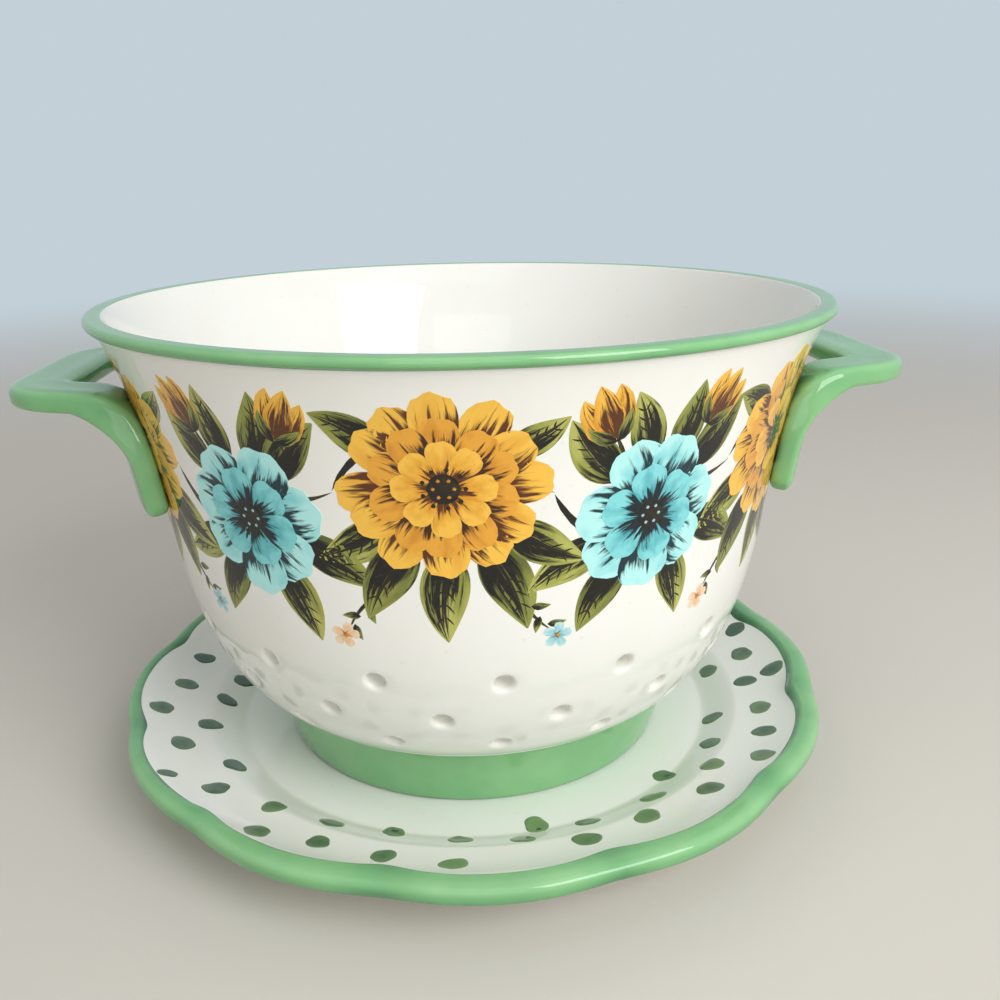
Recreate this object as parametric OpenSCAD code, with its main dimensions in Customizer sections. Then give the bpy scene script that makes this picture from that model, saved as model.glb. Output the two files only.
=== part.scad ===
// Colander bowl with two lug handles, standing on a scalloped drip plate.
// Glazed stoneware: two fired pots, each luted together from its own sub-parts.
// Millimetres, +Z up, origin on the table under the middle of the plate, handles on the X axis.

/* [Bowl wall] */
// Outer radius of the wall where it starts, on top of the foot ring
wall_foot_r = 50.2; // [47:0.1:54]
// Outer radius at the belly, where the round bottom turns into the tall flare
belly_r = 68.1; // [62:0.1:74]
// Height of the belly above the foot ring
belly_h = 41.1; // [34:0.1:50]
// Outer radius of the wall just under the rim bead
rim_r = 78.4; // [74:0.1:86]
// Height of the wall's top edge above the belly
rim_h = 44.4; // [38:0.1:56]
// Wall thickness beside the floor
foot_wall_t = 5.0; // [3.5:0.1:6]
// Wall thickness at the belly
belly_wall_t = 4.0; // [3:0.1:5.5]
// Wall thickness under the bead
rim_wall_t = 2.9; // [2:0.1:3.6]
// Angle of the wall above the level where it leaves the foot ring
foot_rise_a = 35; // [25:1:50]
// Lean of the wall away from upright at the belly
belly_lean_a = 7.5; // [3:0.5:12]
// Lean of the wall away from upright under the bead
rim_lean_a = 26; // [15:1:35]

/* [Rim bead] */
// Thickness of the rolled bead on the rim, the diameter of its two round edges
bead_d = 2.1; // [1.6:0.1:6]
// Width of the bead's flat top between its round edges; a fully round bead has none
bead_flat_w = 2.1; // [0:0.1:4]

/* [Foot ring] */
// Height of the bowl's foot ring
foot_h = 14.1; // [8:0.1:18]
// Outer radius of the foot ring where it stands
foot_base_r = 45.5; // [43:0.1:49]
// Outer radius of the foot ring under the wall
foot_top_r = 49.4; // [48.5:0.1:50.5]
// Width of the foot ring's top, under the wall
foot_top_w = 5.4; // [4:0.1:8]
// Width of the face that the foot ring stands on, with its rounded edge
foot_base_w = 4.2; // [3:0.1:6]
// Rounded edge at the bottom of the foot ring
foot_edge = 0.8; // [0.4:0.1:1.2]

/* [Strainer floor] */
// Radius of the pierced floor
floor_r = 44.0; // [41:0.1:45]
// Thickness of the pierced floor
floor_t = 4.0; // [3:0.1:6]
// Diameter of every drain hole
drain_d = 3.6; // [3:0.1:5.2]
// Drain holes in each row round the wall
drain_count = 17; // [12:1:18]
// Height of the top row of drain holes above the foot ring
top_row_h = 24.6; // [23:0.1:28]
// Height of the middle row of drain holes above the foot ring
middle_row_h = 15.1; // [14:0.1:17]
// Height of the bottom row of drain holes above the foot ring
bottom_row_h = 7.3; // [6.5:0.1:8.5]
// Turn of the top row round the bowl
drain_phase_a = 18; // [0:0.5:20]
// Spacing between the rings of drain holes in the floor
floor_ring_step = 12.5; // [10:0.1:13]

/* [Handles] */
// Distance from the bowl's axis to the middle of the grip bar
grip_reach = 88.9; // [87:0.1:98]
// Height of the grip bar above the belly
grip_h = 30.6; // [24:0.1:33]
// Half length of the grip bar to the corners of its centre line
grip_half = 20.5; // [17:0.1:24]
// Width of the flat strap that the handle is made of
strap_w = 12.5; // [10:0.1:14]
// Thickness of the strap
strap_t = 5.0; // [4:0.1:7]
// Radius of the strap's centre line round the corners of the grip
corner_r = 9.0; // [7:0.1:10]
// Angle round the bowl between the handle's middle and each leg
leg_a = 22.5; // [20:0.5:26]
// Height of the legs' lower ends above the belly
leg_end_h = 6.6; // [3:0.1:12]
// How far out from the wall the bend between leg and grip ends
bend_run = 11.0; // [9:0.1:13]
// How far below the grip the bend between leg and grip starts
bend_drop = 13.0; // [10:0.1:15]
// Extra thickness in the middle of the bend, on its upper side
bend_swell = 2.5; // [1:0.1:4]
// Depth to which the handle is luted into the wall
luting_depth = 0.3; // [0.1:0.1:0.8]

/* [Drip plate] */
// Mean outer radius of the plate
plate_r = 83.8; // [82:0.1:92]
// Number of scallops round the plate
scallop_count = 12; // [8:1:16]
// Swing of the scallops in and out from the mean radius
scallop_d = 0.6; // [0.3:0.1:2]
// Radius of the flat well
well_r = 57.0; // [54:0.1:62]
// Width of the cove between the well and the rim
cove_w = 8.5; // [6:0.1:11]
// Height of the cove
cove_h = 3.7; // [3:0.1:6]
// Rise of the plate's rim from the cove to the lip
rim_rise = 4.6; // [1.5:0.1:6]
// Slope of the plate's rim beside the cove
rim_low_a = 10; // [0:1:20]
// Slope of the plate's rim beside the lip
rim_high_a = 30; // [10:1:40]
// Thickness of the plate under the well
plate_t = 4.2; // [3.5:0.1:7]
// Thickness of the plate's rim beside the lip
plate_edge_t = 3.4; // [2.8:0.1:3.8]
// Width of the rolled lip
lip_w = 5.2; // [4:0.1:6]
// Height of the rolled lip
lip_h = 4.4; // [4:0.1:6]
// How far the lip stands above the plate's rim
lip_crest = 1.6; // [0.8:0.1:2]
// Mean radius of the ring that the plate stands on
plate_foot_r = 54.0; // [46:0.1:56]
// Width of the ring that the plate stands on
plate_foot_w = 5.0; // [4:0.1:8]
// Height of the ring that the plate stands on
plate_foot_h = 1.6; // [1:0.1:5]

/* [Hidden] */

ivory = "#F3EEDD";
jade = "#7FBF94";
bisque = "#D9CDB6";

$fn = 96;
// Lengths of the pulls on the wall's two curves, as shares of each curve's chord
foot_pull_share = 0.364;
belly_low_pull_share = 0.243;
belly_high_pull_share = 0.385;
rim_pull_share = 0.311;
// Pull of the bend's curve and of the corner's curve, as shares of their runs
bend_pull_share = 0.46;
corner_pull_share = 0.6;
// Fullness of the strap's round edges: 1 is an ellipse, 0 is a rectangle
edge_share = 0.66;
// Widths of the strap's rounded lower end, as shares of the strap, up to where it is full
tip_shares = [0.35, 0.75, 0.94, 1];
// Most of the width between well and lip that the cove takes, and the pulls of its curve and the rim's
cove_most_share = 0.6;
cove_pull_share = 0.2;
plate_rim_pull_share = 0.35;
// Sharpness of the notch between scallops: 0 is sharp
notch_share = 0.25;
// Holes in the first ring round the floor's middle; each ring further out has as many more
floor_spokes = 6;
// Distance that a cutter runs past the surface that it cuts
overrun = 1.0;
// Steps along each curve, and round the scalloped lip within each scallop
curve_steps = 8;
bead_steps = 8;
strap_steps = 8;
section_steps = 16;
scallop_steps = 8;

plate_top_z = plate_foot_h + plate_t;
foot_top_z = plate_top_z + foot_h;
belly_z = foot_top_z + belly_h;
rim_z = belly_z + rim_h;
floor_top_z = foot_top_z + floor_t;
// The foot ring carries the wall, so its top reaches in under the wall's whole thickness
foot_inner_r = min(foot_top_r - foot_top_w, wall_foot_r - foot_wall_t);
// As many rings of holes as fit on the floor
floor_rings = floor((floor_r - drain_d) / floor_ring_step);
grip_z = belly_z + grip_h;
leg_end_z = belly_z + leg_end_h;
lip_inner_r = plate_r - lip_w;
// The cove is a fillet between well and rim, so the plate's rim limits it
cove_r = well_r + min(cove_w, cove_most_share * (lip_inner_r - well_r));
cove_z = plate_top_z + cove_h;
rim_plate_z = cove_z + rim_rise;
// The underside stays flat as far out as the ring that the plate stands on
under_flat_r = max(well_r, plate_foot_r + plate_foot_w / 2);

// Point at share s along the cubic curve whose four control points are in p
function curve_point(p, s) =
    pow(1 - s, 3) * p[0] + 3 * pow(1 - s, 2) * s * p[1] + 3 * (1 - s) * s * s * p[2] + pow(s, 3) * p[3];
// Direction of that curve at share s
function curve_way(p, s) =
    pow(1 - s, 2) * (p[1] - p[0]) + 2 * (1 - s) * s * (p[2] - p[1]) + s * s * (p[3] - p[2]);
function unit(v) = v / norm(v);
// Shares from 0 to 1 in count equal steps
function steps(count) = [for (i = [0 : count]) i / count];

// The wall's outer outline: one curve from the foot ring to the belly, one from there to the bead
wall_start = [wall_foot_r, foot_top_z];
belly_point = [belly_r, belly_z];
wall_end = [rim_r, rim_z];
low_chord = norm(belly_point - wall_start);
high_chord = norm(wall_end - belly_point);
belly_way = [sin(belly_lean_a), cos(belly_lean_a)];
low_curve = [wall_start,
             wall_start + foot_pull_share * low_chord * [cos(foot_rise_a), sin(foot_rise_a)],
             belly_point - belly_low_pull_share * low_chord * belly_way,
             belly_point];
high_curve = [belly_point,
              belly_point + belly_high_pull_share * high_chord * belly_way,
              wall_end - rim_pull_share * high_chord * [sin(rim_lean_a), cos(rim_lean_a)],
              wall_end];
low_outline = [for (s = steps(curve_steps)) curve_point(low_curve, s)];
high_outline = [for (s = steps(curve_steps)) if (s > 0) curve_point(high_curve, s)];
outer_outline = concat(low_outline, high_outline);

// The inner outline lies one wall thickness inside, square to the outer one
function inward(way) = unit([-way[1], way[0]]);
function inner_point(p, s, t) = curve_point(p, s) + t * inward(curve_way(p, s));
function mixed(a, b, s) = a + (b - a) * s;
inner_outline = concat(
    [for (s = steps(curve_steps)) inner_point(low_curve, s, mixed(foot_wall_t, belly_wall_t, s))],
    [for (s = steps(curve_steps)) if (s > 0)
        inner_point(high_curve, s, mixed(belly_wall_t, rim_wall_t, s))]);

// Outer radius of the wall at a height, and the wall's slope there
wall_table = [for (p = outer_outline) [p[1], p[0]]];
function wall_radius(z) = lookup(z, wall_table);
function wall_slope(z) = (wall_radius(z + drain_d / 2) - wall_radius(z - drain_d / 2)) / drain_d;

// The bead lies level on the wall's outer edge. Its inner edge is round and runs on from the wall's
// inner face, which touches it at bead_inner_point; its outer edge is round too and stands proud.
bead_r = bead_d / 2;
bead_inner_a = 180 - rim_lean_a;
rim_inward = [-cos(rim_lean_a), sin(rim_lean_a)];
// Distance up the inner face from the wall's inner top edge to that point
bead_reach = (bead_r * (1 + sin(rim_lean_a)) - rim_wall_t * sin(rim_lean_a)) / cos(rim_lean_a);
bead_inner_point = wall_end + rim_wall_t * rim_inward + bead_reach * [sin(rim_lean_a), cos(rim_lean_a)];
bead_inner_centre = bead_inner_point - bead_r * rim_inward;
bead_outer_centre = bead_inner_centre + [bead_flat_w, 0];
bead_outline = concat([wall_end],
    [for (s = steps(bead_steps)) let (a = mixed(-90, 90, s)) bead_outer_centre + bead_r * [cos(a), sin(a)]],
    [for (s = steps(bead_steps)) let (a = mixed(90, bead_inner_a, s))
        bead_inner_centre + bead_r * [cos(a), sin(a)]]);

module bowl_wall() {
    color(ivory) difference() {
        rotate_extrude() polygon(concat(
            [[floor_r, foot_top_z]], outer_outline, [bead_inner_point],
            [for (i = [len(inner_outline) - 1 : -1 : 0]) inner_outline[i]],
            [[floor_r, floor_top_z]]));
        drain_row(top_row_h, drain_phase_a);
        drain_row(middle_row_h, drain_phase_a + 180 / drain_count);
        drain_row(bottom_row_h, drain_phase_a);
    }
}

// One row of holes round the wall, each square to the wall's outer face
module drain_row(row_h, phase_a) {
    z = foot_top_z + row_h;
    tilt_a = 90 + atan(wall_slope(z));
    for (i = [0 : drain_count - 1])
        rotate([0, 0, phase_a + i * 360 / drain_count])
            translate([wall_radius(z), 0, z])
                rotate([0, tilt_a, 0])
                    translate([0, 0, -foot_wall_t - overrun])
                        cylinder(d = drain_d, h = foot_wall_t + 2 * overrun);
}

module strainer_floor() {
    color(ivory) difference() {
        translate([0, 0, foot_top_z]) cylinder(r = floor_r, h = floor_t);
        floor_drain(0, 0);
        for (ring = [1 : floor_rings], i = [0 : floor_spokes * ring - 1])
            floor_drain(ring * floor_ring_step, i * 360 / (floor_spokes * ring));
    }
}

module floor_drain(radius, turn_a) {
    rotate([0, 0, turn_a]) translate([radius, 0, foot_top_z - overrun])
        cylinder(d = drain_d, h = floor_t + 2 * overrun);
}

module rim_bead() {
    color(jade) rotate_extrude() polygon(bead_outline);
}

module bowl_foot_ring() {
    inner_base_r = foot_base_r - foot_base_w;
    color(jade) rotate_extrude() polygon([
        [inner_base_r + foot_edge, plate_top_z],
        [foot_base_r - foot_edge, plate_top_z],
        [foot_base_r, plate_top_z + foot_edge],
        [foot_top_r, foot_top_z],
        [foot_inner_r, foot_top_z],
        [inner_base_r, plate_top_z + foot_edge]]);
}

// Half of the handle's centre line, from the foot of the leg at -Y to the middle of the grip.
// The leg runs up the wall, a bend carries it out into the arm, and a corner turns it along the bar.
function on_wall(z, out) = let (r = wall_radius(z) + out) [r * cos(leg_a), -r * sin(leg_a), z];
leg_out = strap_t / 2 - luting_depth;
leg_foot = on_wall(leg_end_z, leg_out);
leg_head = on_wall(grip_z - bend_drop, leg_out);
grip_corner = [grip_reach, -grip_half, grip_z];
arm_root = on_wall(grip_z, 0);
arm_way = unit(grip_corner - arm_root);
bar_way = [0, 1, 0];
arm_start = arm_root + bend_run * arm_way;
corner_cut = corner_r * tan(acos(arm_way * bar_way) / 2);
corner_start = grip_corner - corner_cut * arm_way;
corner_end = grip_corner + corner_cut * bar_way;
leg_way = unit(leg_head - leg_foot);
bend_curve = [leg_head, leg_head + bend_pull_share * bend_drop * leg_way,
              arm_start - bend_pull_share * bend_run * arm_way, arm_start];
corner_curve = [corner_start, corner_start + corner_pull_share * corner_cut * arm_way,
                corner_end - corner_pull_share * corner_cut * bar_way, corner_end];

// Stations along that line: place, direction, share of the way round the bend, share of full section
leg_stations = [for (i = [0 : len(tip_shares) - 1]) let (s = i / (len(tip_shares) - 1))
    [mixed(leg_foot, mixed(leg_foot, leg_head, 0.5), s * s), leg_way, 0, tip_shares[i]]];
bend_stations = [for (s = steps(strap_steps))
    [curve_point(bend_curve, s), unit(curve_way(bend_curve, s)), s, 1]];
corner_stations = [for (s = steps(strap_steps))
    [curve_point(corner_curve, s), unit(curve_way(corner_curve, s)), 1, 1]];
grip_station = [[grip_reach, 0, grip_z], bar_way, 1, 1];
half_stations = concat(leg_stations, bend_stations, corner_stations);
half_count = len(half_stations);

// One ring of the strap's section: flat and wide, with full round edges, turned from lying on the
// wall to lying level, and thickened in the middle of the bend
function rounded(x) = sign(x) * pow(abs(x), edge_share);
function strap_ring(station) =
    let (way = station[1], turn = station[2] * station[2] * (3 - 2 * station[2]),
         wall_side = [sin(leg_a), cos(leg_a), 0],
         level_side = turn < 1 ? [-arm_way[1], arm_way[0], 0] : unit([-way[1], way[0], 0]),
         loose = mixed(wall_side, level_side, turn),
         across = unit(loose - (loose * way) * way),
         up = cross(way, across),
         swell = bend_swell * pow(sin(180 * station[2]), 2))
    [for (i = [0 : section_steps - 1]) let (a = 360 * i / section_steps, lift = rounded(sin(a)))
        station[0] + station[3] * (strap_w / 2 * rounded(cos(a)) * across
            + (strap_t / 2 + (lift > 0 ? swell : 0)) * lift * up)];
// Points that would lie deeper in the wall come out to the depth of the luting
function seated(p) =
    let (r = norm([p[0], p[1]]), seat_r = wall_radius(p[2]) - luting_depth, out = max(r, seat_r) / r)
    [p[0] * out, p[1] * out, p[2]];
half_rings = [for (station = half_stations) [for (p = strap_ring(station)) seated(p)]];
// The other half is the mirror image in the plane of the bowl's middle
function mirrored(ring) = [for (p = ring) [p[0], -p[1], p[2]]];
strap_rings = concat(half_rings, [strap_ring(grip_station)],
    [for (k = [half_count - 1 : -1 : 0]) mirrored(half_rings[k])]);

// Closed skin over rings of equal point counts, with flat ends
module skin(rings) {
    n = len(rings[0]);
    last = len(rings) - 1;
    points = [for (ring = rings, p = ring) p];
    sides = [for (k = [0 : last - 1], i = [0 : n - 1]) let (j = (i + 1) % n)
        each [[k * n + i, (k + 1) * n + i, (k + 1) * n + j], [k * n + i, (k + 1) * n + j, k * n + j]]];
    first_cap = [[for (i = [0 : n - 1]) i]];
    last_cap = [[for (i = [n - 1 : -1 : 0]) last * n + i]];
    polyhedron(points, concat(sides, first_cap, last_cap));
}

module right_handle() {
    color(jade) skin(strap_rings);
}

module left_handle() {
    color(jade) rotate([0, 0, 180]) skin(strap_rings);
}

module plate_dish() {
    cove_pull = cove_pull_share * (cove_r - well_r);
    rim_pull = plate_rim_pull_share * (lip_inner_r - cove_r);
    cove_curve = [[well_r, plate_top_z], [well_r + cove_pull, plate_top_z],
                  [cove_r - cove_pull, cove_z - cove_pull * tan(rim_low_a)], [cove_r, cove_z]];
    rim_curve = [[cove_r, cove_z], [cove_r + rim_pull, cove_z + rim_pull * tan(rim_low_a)],
                 [lip_inner_r - rim_pull, rim_plate_z - rim_pull * tan(rim_high_a)],
                 [lip_inner_r, rim_plate_z]];
    // The underside follows the rim's upper side and thins towards the lip
    middle_t = (plate_t + plate_edge_t) / 2;
    color(ivory) rotate_extrude() polygon(concat(
        [[0, plate_foot_h], [0, plate_top_z]],
        [for (s = steps(curve_steps)) curve_point(cove_curve, s)],
        [for (s = steps(curve_steps)) if (s > 0) curve_point(rim_curve, s)],
        [for (s = steps(curve_steps)) curve_point(rim_curve, 1 - s) - [0, mixed(plate_edge_t, middle_t, s)]],
        [[under_flat_r, plate_foot_h]]));
}

// Outer radius of the lip at an angle: round lobes that meet in soft notches
function lip_outer_r(a) =
    let (wave = cos(a * scallop_count / 2),
         lobe = (sqrt(wave * wave + notch_share * notch_share) - notch_share)
              / (sqrt(1 + notch_share * notch_share) - notch_share))
    plate_r + scallop_d * (2 * lobe - 1);

// Section of the lip at an angle, from the inner edge of its underside round to the inner top edge
function lip_ring(a) =
    let (outer_r = lip_outer_r(a), top_z = rim_plate_z + lip_crest, half_h = lip_h / 2,
         mid_z = top_z - half_h, round_r = outer_r - half_h, inner_r = lip_inner_r - overrun,
         section = concat(
             [[inner_r, rim_plate_z - plate_edge_t]],
             [for (turn_a = [-90 : 30 : 90]) [round_r + half_h * cos(turn_a), mid_z + half_h * sin(turn_a)]],
             [[inner_r, rim_plate_z]]))
    [for (p = section) [p[0] * cos(a), p[0] * sin(a), p[1]]];

module plate_lip() {
    count = scallop_count * scallop_steps;
    rings = [for (k = [0 : count - 1]) lip_ring(360 * k / count)];
    n = len(rings[0]);
    points = [for (ring = rings, p = ring) p];
    faces = [for (k = [0 : count - 1], i = [0 : n - 1])
        let (j = (i + 1) % n, next = (k + 1) % count)
        each [[k * n + i, next * n + i, next * n + j], [k * n + i, next * n + j, k * n + j]]];
    color(jade) difference() {
        polyhedron(points, faces);
        cylinder(r = lip_inner_r, h = rim_plate_z + lip_h);
    }
}

module plate_foot_ring() {
    color(bisque) difference() {
        cylinder(r = plate_foot_r + plate_foot_w / 2, h = plate_foot_h);
        translate([0, 0, -overrun])
            cylinder(r = plate_foot_r - plate_foot_w / 2, h = plate_foot_h + 2 * overrun);
    }
}

bowl_wall();
strainer_floor();
rim_bead();
bowl_foot_ring();
left_handle();
right_handle();
plate_dish();
plate_lip();
plate_foot_ring();
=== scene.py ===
"""Looks of a stoneware colander bowl on its scalloped drip plate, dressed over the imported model.

Lengths in this file are millimetres in the part's own frame, and Piece turns them into metres.
Azimuths run anticlockwise seen from above, from +X. Every surface is a grid of two parameters
worked out as whole arrays.
"""

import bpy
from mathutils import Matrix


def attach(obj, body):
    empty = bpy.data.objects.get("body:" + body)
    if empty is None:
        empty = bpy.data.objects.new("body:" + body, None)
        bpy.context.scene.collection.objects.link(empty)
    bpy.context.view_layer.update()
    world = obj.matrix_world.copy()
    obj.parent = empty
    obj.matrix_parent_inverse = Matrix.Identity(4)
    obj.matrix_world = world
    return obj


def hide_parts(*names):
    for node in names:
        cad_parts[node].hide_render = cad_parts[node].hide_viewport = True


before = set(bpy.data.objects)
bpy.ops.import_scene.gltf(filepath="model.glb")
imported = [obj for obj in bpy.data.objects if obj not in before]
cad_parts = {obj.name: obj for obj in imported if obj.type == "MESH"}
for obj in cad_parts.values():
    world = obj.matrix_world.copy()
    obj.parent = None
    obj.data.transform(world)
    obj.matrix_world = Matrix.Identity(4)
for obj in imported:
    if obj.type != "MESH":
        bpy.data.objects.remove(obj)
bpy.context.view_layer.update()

import logging
import math
from dataclasses import dataclass, field
from enum import Enum
from typing import Any

import bpy
import numpy as np
from mathutils import Matrix

LOG = logging.getLogger("colander")
MM = 0.001
WELD_MM = 1e-4
FULL_TURN = 2 * math.pi
Array = np.ndarray


# Small mathematics


def linear(colour: str) -> tuple[float, float, float, float]:
    """Turns an sRGB hex colour into linear RGBA by the sRGB curve.

    Args:
        colour: such as "#7FBF94".

    Returns:
        Red, green, blue and an alpha of 1.
    """
    parts = [int(colour[i : i + 2], 16) / 255 for i in (1, 3, 5)]
    return (*[c / 12.92 if c <= 0.04045 else ((c + 0.055) / 1.055) ** 2.4 for c in parts], 1.0)


def mixed(a: Any, b: Any, s: Any) -> Any:
    """Straight mix: a at share 0, b at share 1."""
    return a + (b - a) * s


def smooth(low: float, high: float, x: Array) -> Array:
    """Rises from 0 at low to 1 at high, level at both ends: 3q squared less 2q cubed."""
    q = np.clip((np.asarray(x, float) - low) / (high - low), 0, 1)
    return q * q * (3 - 2 * q)


def hump(x: Array, middle: float, width: float) -> Array:
    """Bell curve: 1 at the middle, and 1 over e one width away from it."""
    return np.exp(-(((x - middle) / width) ** 2))


def unit(v: Array) -> Array:
    """Each vector over its own length."""
    v = np.asarray(v, float)
    return v / np.linalg.norm(v, axis=-1, keepdims=True)


def at_degrees(angle: Any) -> Array:
    """Unit vectors at angles in degrees from the right, anticlockwise."""
    return np.stack([np.cos(np.radians(angle)), np.sin(np.radians(angle))], -1)


def cubic(points: Any, s: Any) -> Array:
    """Points of the cubic curve with four control points, at shares s along it.

    Args:
        points: four control points, first axis of four.
        s: shares from 0 to 1.

    Returns:
        One point per share, along the first axis.
    """
    p = [np.asarray(q, float) for q in points]
    s = np.asarray(s, float).reshape(-1, *([1] * p[0].ndim))
    return (1 - s) ** 3 * p[0] + 3 * (1 - s) ** 2 * s * p[1] + 3 * (1 - s) * s**2 * p[2] + s**3 * p[3]


def cubic_way(points: Any, s: Any) -> Array:
    """Unit direction of that curve at shares s: the curve's first derivative over its length.

    Args:
        points: four control points, first axis of four.
        s: shares from 0 to 1.

    Returns:
        One direction per share, along the first axis.
    """
    p = [np.asarray(q, float) for q in points]
    s = np.asarray(s, float).reshape(-1, *([1] * p[0].ndim))
    return unit((1 - s) ** 2 * (p[1] - p[0]) + 2 * (1 - s) * s * (p[2] - p[1]) + s**2 * (p[3] - p[2]))


def turned(r: Array, z: Array, azimuth: Array) -> Array:
    """Cylinder coordinates to x, y, z."""
    r, z, azimuth = np.broadcast_arrays(r, z, azimuth)
    return np.stack([r * np.cos(azimuth), r * np.sin(azimuth), z], -1)


def round_turn(count: int) -> Array:
    """Angles of that many even steps round a full turn, from 0."""
    return np.arange(count) * FULL_TURN / count


def drift(azimuth: Array, seed: int, waves: tuple[int, ...] = (2, 3, 5, 8, 13)) -> Array:
    """Slow wandering of a hand-dipped edge: a sum of whole waves round the pot, within about 1.

    Args:
        azimuth: where it is wanted.
        seed: picks the phases.
        waves: waves per turn, each fainter than the one before.

    Returns:
        One value per azimuth.
    """
    fading = 0.6
    phases = np.random.default_rng(seed).uniform(0, FULL_TURN, len(waves))
    terms = [np.sin(n * azimuth + p) / (1 + i * fading) for i, (n, p) in enumerate(zip(waves, phases))]
    return sum(terms) / 2


def rounded_outline(corners: list[tuple[float, float, float]], steps: int = 5) -> Array:
    """Closed outline whose corners are rounded: each corner's cubic touches both sides.

    Args:
        corners: r, z and rounding of each corner, in order.
        steps: steps round each corner.

    Returns:
        One row of r and z per point.
    """
    p = np.array(corners, float)
    here, before, after = p[:, :2], np.roll(p, 1, 0)[:, :2], np.roll(p, -1, 0)[:, :2]
    reach = p[:, 2:3]
    start, end = here + unit(before - here) * reach, here + unit(after - here) * reach
    pull_share = 0.45
    controls = [start, mixed(here, start, pull_share), mixed(here, end, pull_share), end]
    return cubic(controls, np.linspace(0, 1, steps + 1)).transpose(1, 0, 2).reshape(-1, 2)


def grid_faces(rows: int, columns: int, wrap_rows: bool = False) -> Array:
    """Quads of a grid of points whose columns close into loops.

    With columns to the right and rows upwards they face the viewer.

    Args:
        rows: number of rows.
        columns: number of columns.
        wrap_rows: the last row joins the first.

    Returns:
        Four point numbers per face.
    """
    j, i = np.meshgrid(np.arange(rows if wrap_rows else rows - 1), np.arange(columns), indexing="ij")
    k, n = (j + 1) % rows, (i + 1) % columns
    return np.stack([j * columns + i, j * columns + n, k * columns + n, k * columns + i], -1).reshape(-1, 4)


def zip_faces(inner: int, outer: int) -> Array:
    """Triangles between two loops of unlike counts that start at about the same azimuth.

    Every edge of one loop takes the point of the other that the same share of the turn has passed.
    Where two edges have their middles at one share, the inner loop's edge comes first.

    Args:
        inner: points of the inner loop, numbered first.
        outer: points of the outer loop, numbered after them.

    Returns:
        Three point numbers per face.
    """
    inner_mid, outer_mid = (np.arange(inner) + 0.5) / inner, (np.arange(outer) + 0.5) / outer
    apex_out = np.searchsorted(outer_mid, inner_mid)
    apex_in = np.searchsorted(inner_mid, outer_mid, side="right")
    a, b = np.arange(inner), np.arange(outer)
    first = np.stack([a, (a + 1) % inner, inner + apex_out % outer], -1)
    second = np.stack([inner + (b + 1) % outer, inner + b, apex_in % inner], -1)
    return np.concatenate([first, second])


# Materials

# settings that nodes share: a product plus a sum, and a mix of two colours
MULTIPLY_ADD = {"operation": "MULTIPLY_ADD"}
COLOURS = {"data_type": "RGBA"}


def add_node(tree: Any, kind: str, values: dict | None = None, links: dict | None = None) -> Any:
    """Adds one node with its settings and links.

    Args:
        tree: the material's or world's node tree.
        kind: Blender's name of the node type, without ShaderNode in front.
        values: settings in lower case, input sockets by name or number, or "stops" of a ramp.
        links: input socket to the output that feeds it.

    Returns:
        The node.
    """
    node = tree.nodes.new("ShaderNode" + kind)
    for key, value in (values or {}).items():
        if key == "stops":
            ramp = node.color_ramp
            ramp.elements[0].position, ramp.elements[0].color = value[0]
            ramp.elements[1].position, ramp.elements[1].color = value[-1]
            for place, colour in value[1:-1]:
                ramp.elements.new(place).color = colour
        elif isinstance(key, str) and key[0].islower():
            setattr(node, key, value)
        else:
            node.inputs[key].default_value = value
    for key, source in (links or {}).items():
        tree.links.new(source, node.inputs[key])
    return node


def seen_share(tree: Any) -> Any:
    """1 on rays from the camera, from gloss or through glass, and 0 on rays that carry light.

    Args:
        tree: the node tree that it is worked out in.

    Returns:
        The output that holds it.
    """
    rays = add_node(tree, "LightPath").outputs
    share = rays["Is Camera Ray"]
    for name in ("Is Glossy Ray", "Is Transmission Ray"):
        share = add_node(tree, "Math", {"operation": "MAXIMUM"}, {0: share, 1: rays[name]}).outputs[0]
    return share


class Finish:
    """A finish. Each kind has a name of its own and works out its surface."""

    name: str

    def surface(self, tree: Any) -> Any:
        """The output that holds the surface, worked out in that node tree."""
        raise NotImplementedError

    def material(self) -> Any:
        """Makes the material.

        Returns:
            The material.
        """
        made = bpy.data.materials.new(self.name)
        made.use_nodes = True
        made.node_tree.nodes.clear()
        add_node(made.node_tree, "OutputMaterial", links={"Surface": self.surface(made.node_tree)})
        return made


@dataclass(frozen=True)
class ClearTop:
    """Clear, hard top of a fired glaze: sharp window reflections, broken by the slow waves of a dip."""

    wave_mm: float
    wave_height_mm: float
    under_roughness: float = 0.32
    roughness: float = 0.05
    refraction: float = 1.52

    def over(self, tree: Any, place: Any, colour: Any) -> Any:
        """Lays the top over a colour.

        Args:
            tree: the material's node tree.
            place: the output that holds the place on the piece.
            colour: the output that holds the colour below.

        Returns:
            The output that holds the surface.
        """
        slow = {"Scale": 1 / (self.wave_mm * MM), "Detail": 1.5}
        wave = add_node(tree, "TexNoise", slow, {"Vector": place}).outputs["Fac"]
        height = {"Strength": 0.35, "Distance": self.wave_height_mm * MM}
        bump = add_node(tree, "Bump", height, {"Height": wave}).outputs[0]
        look = {"Roughness": self.under_roughness, "Specular IOR Level": 0.0, "Coat Weight": 1.0}
        glass = {"Coat Roughness": self.roughness, "Coat IOR": self.refraction}
        links = {"Base Color": colour, "Normal": bump, "Coat Normal": bump}
        return add_node(tree, "BsdfPrincipled", look | glass, links).outputs[0]


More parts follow.
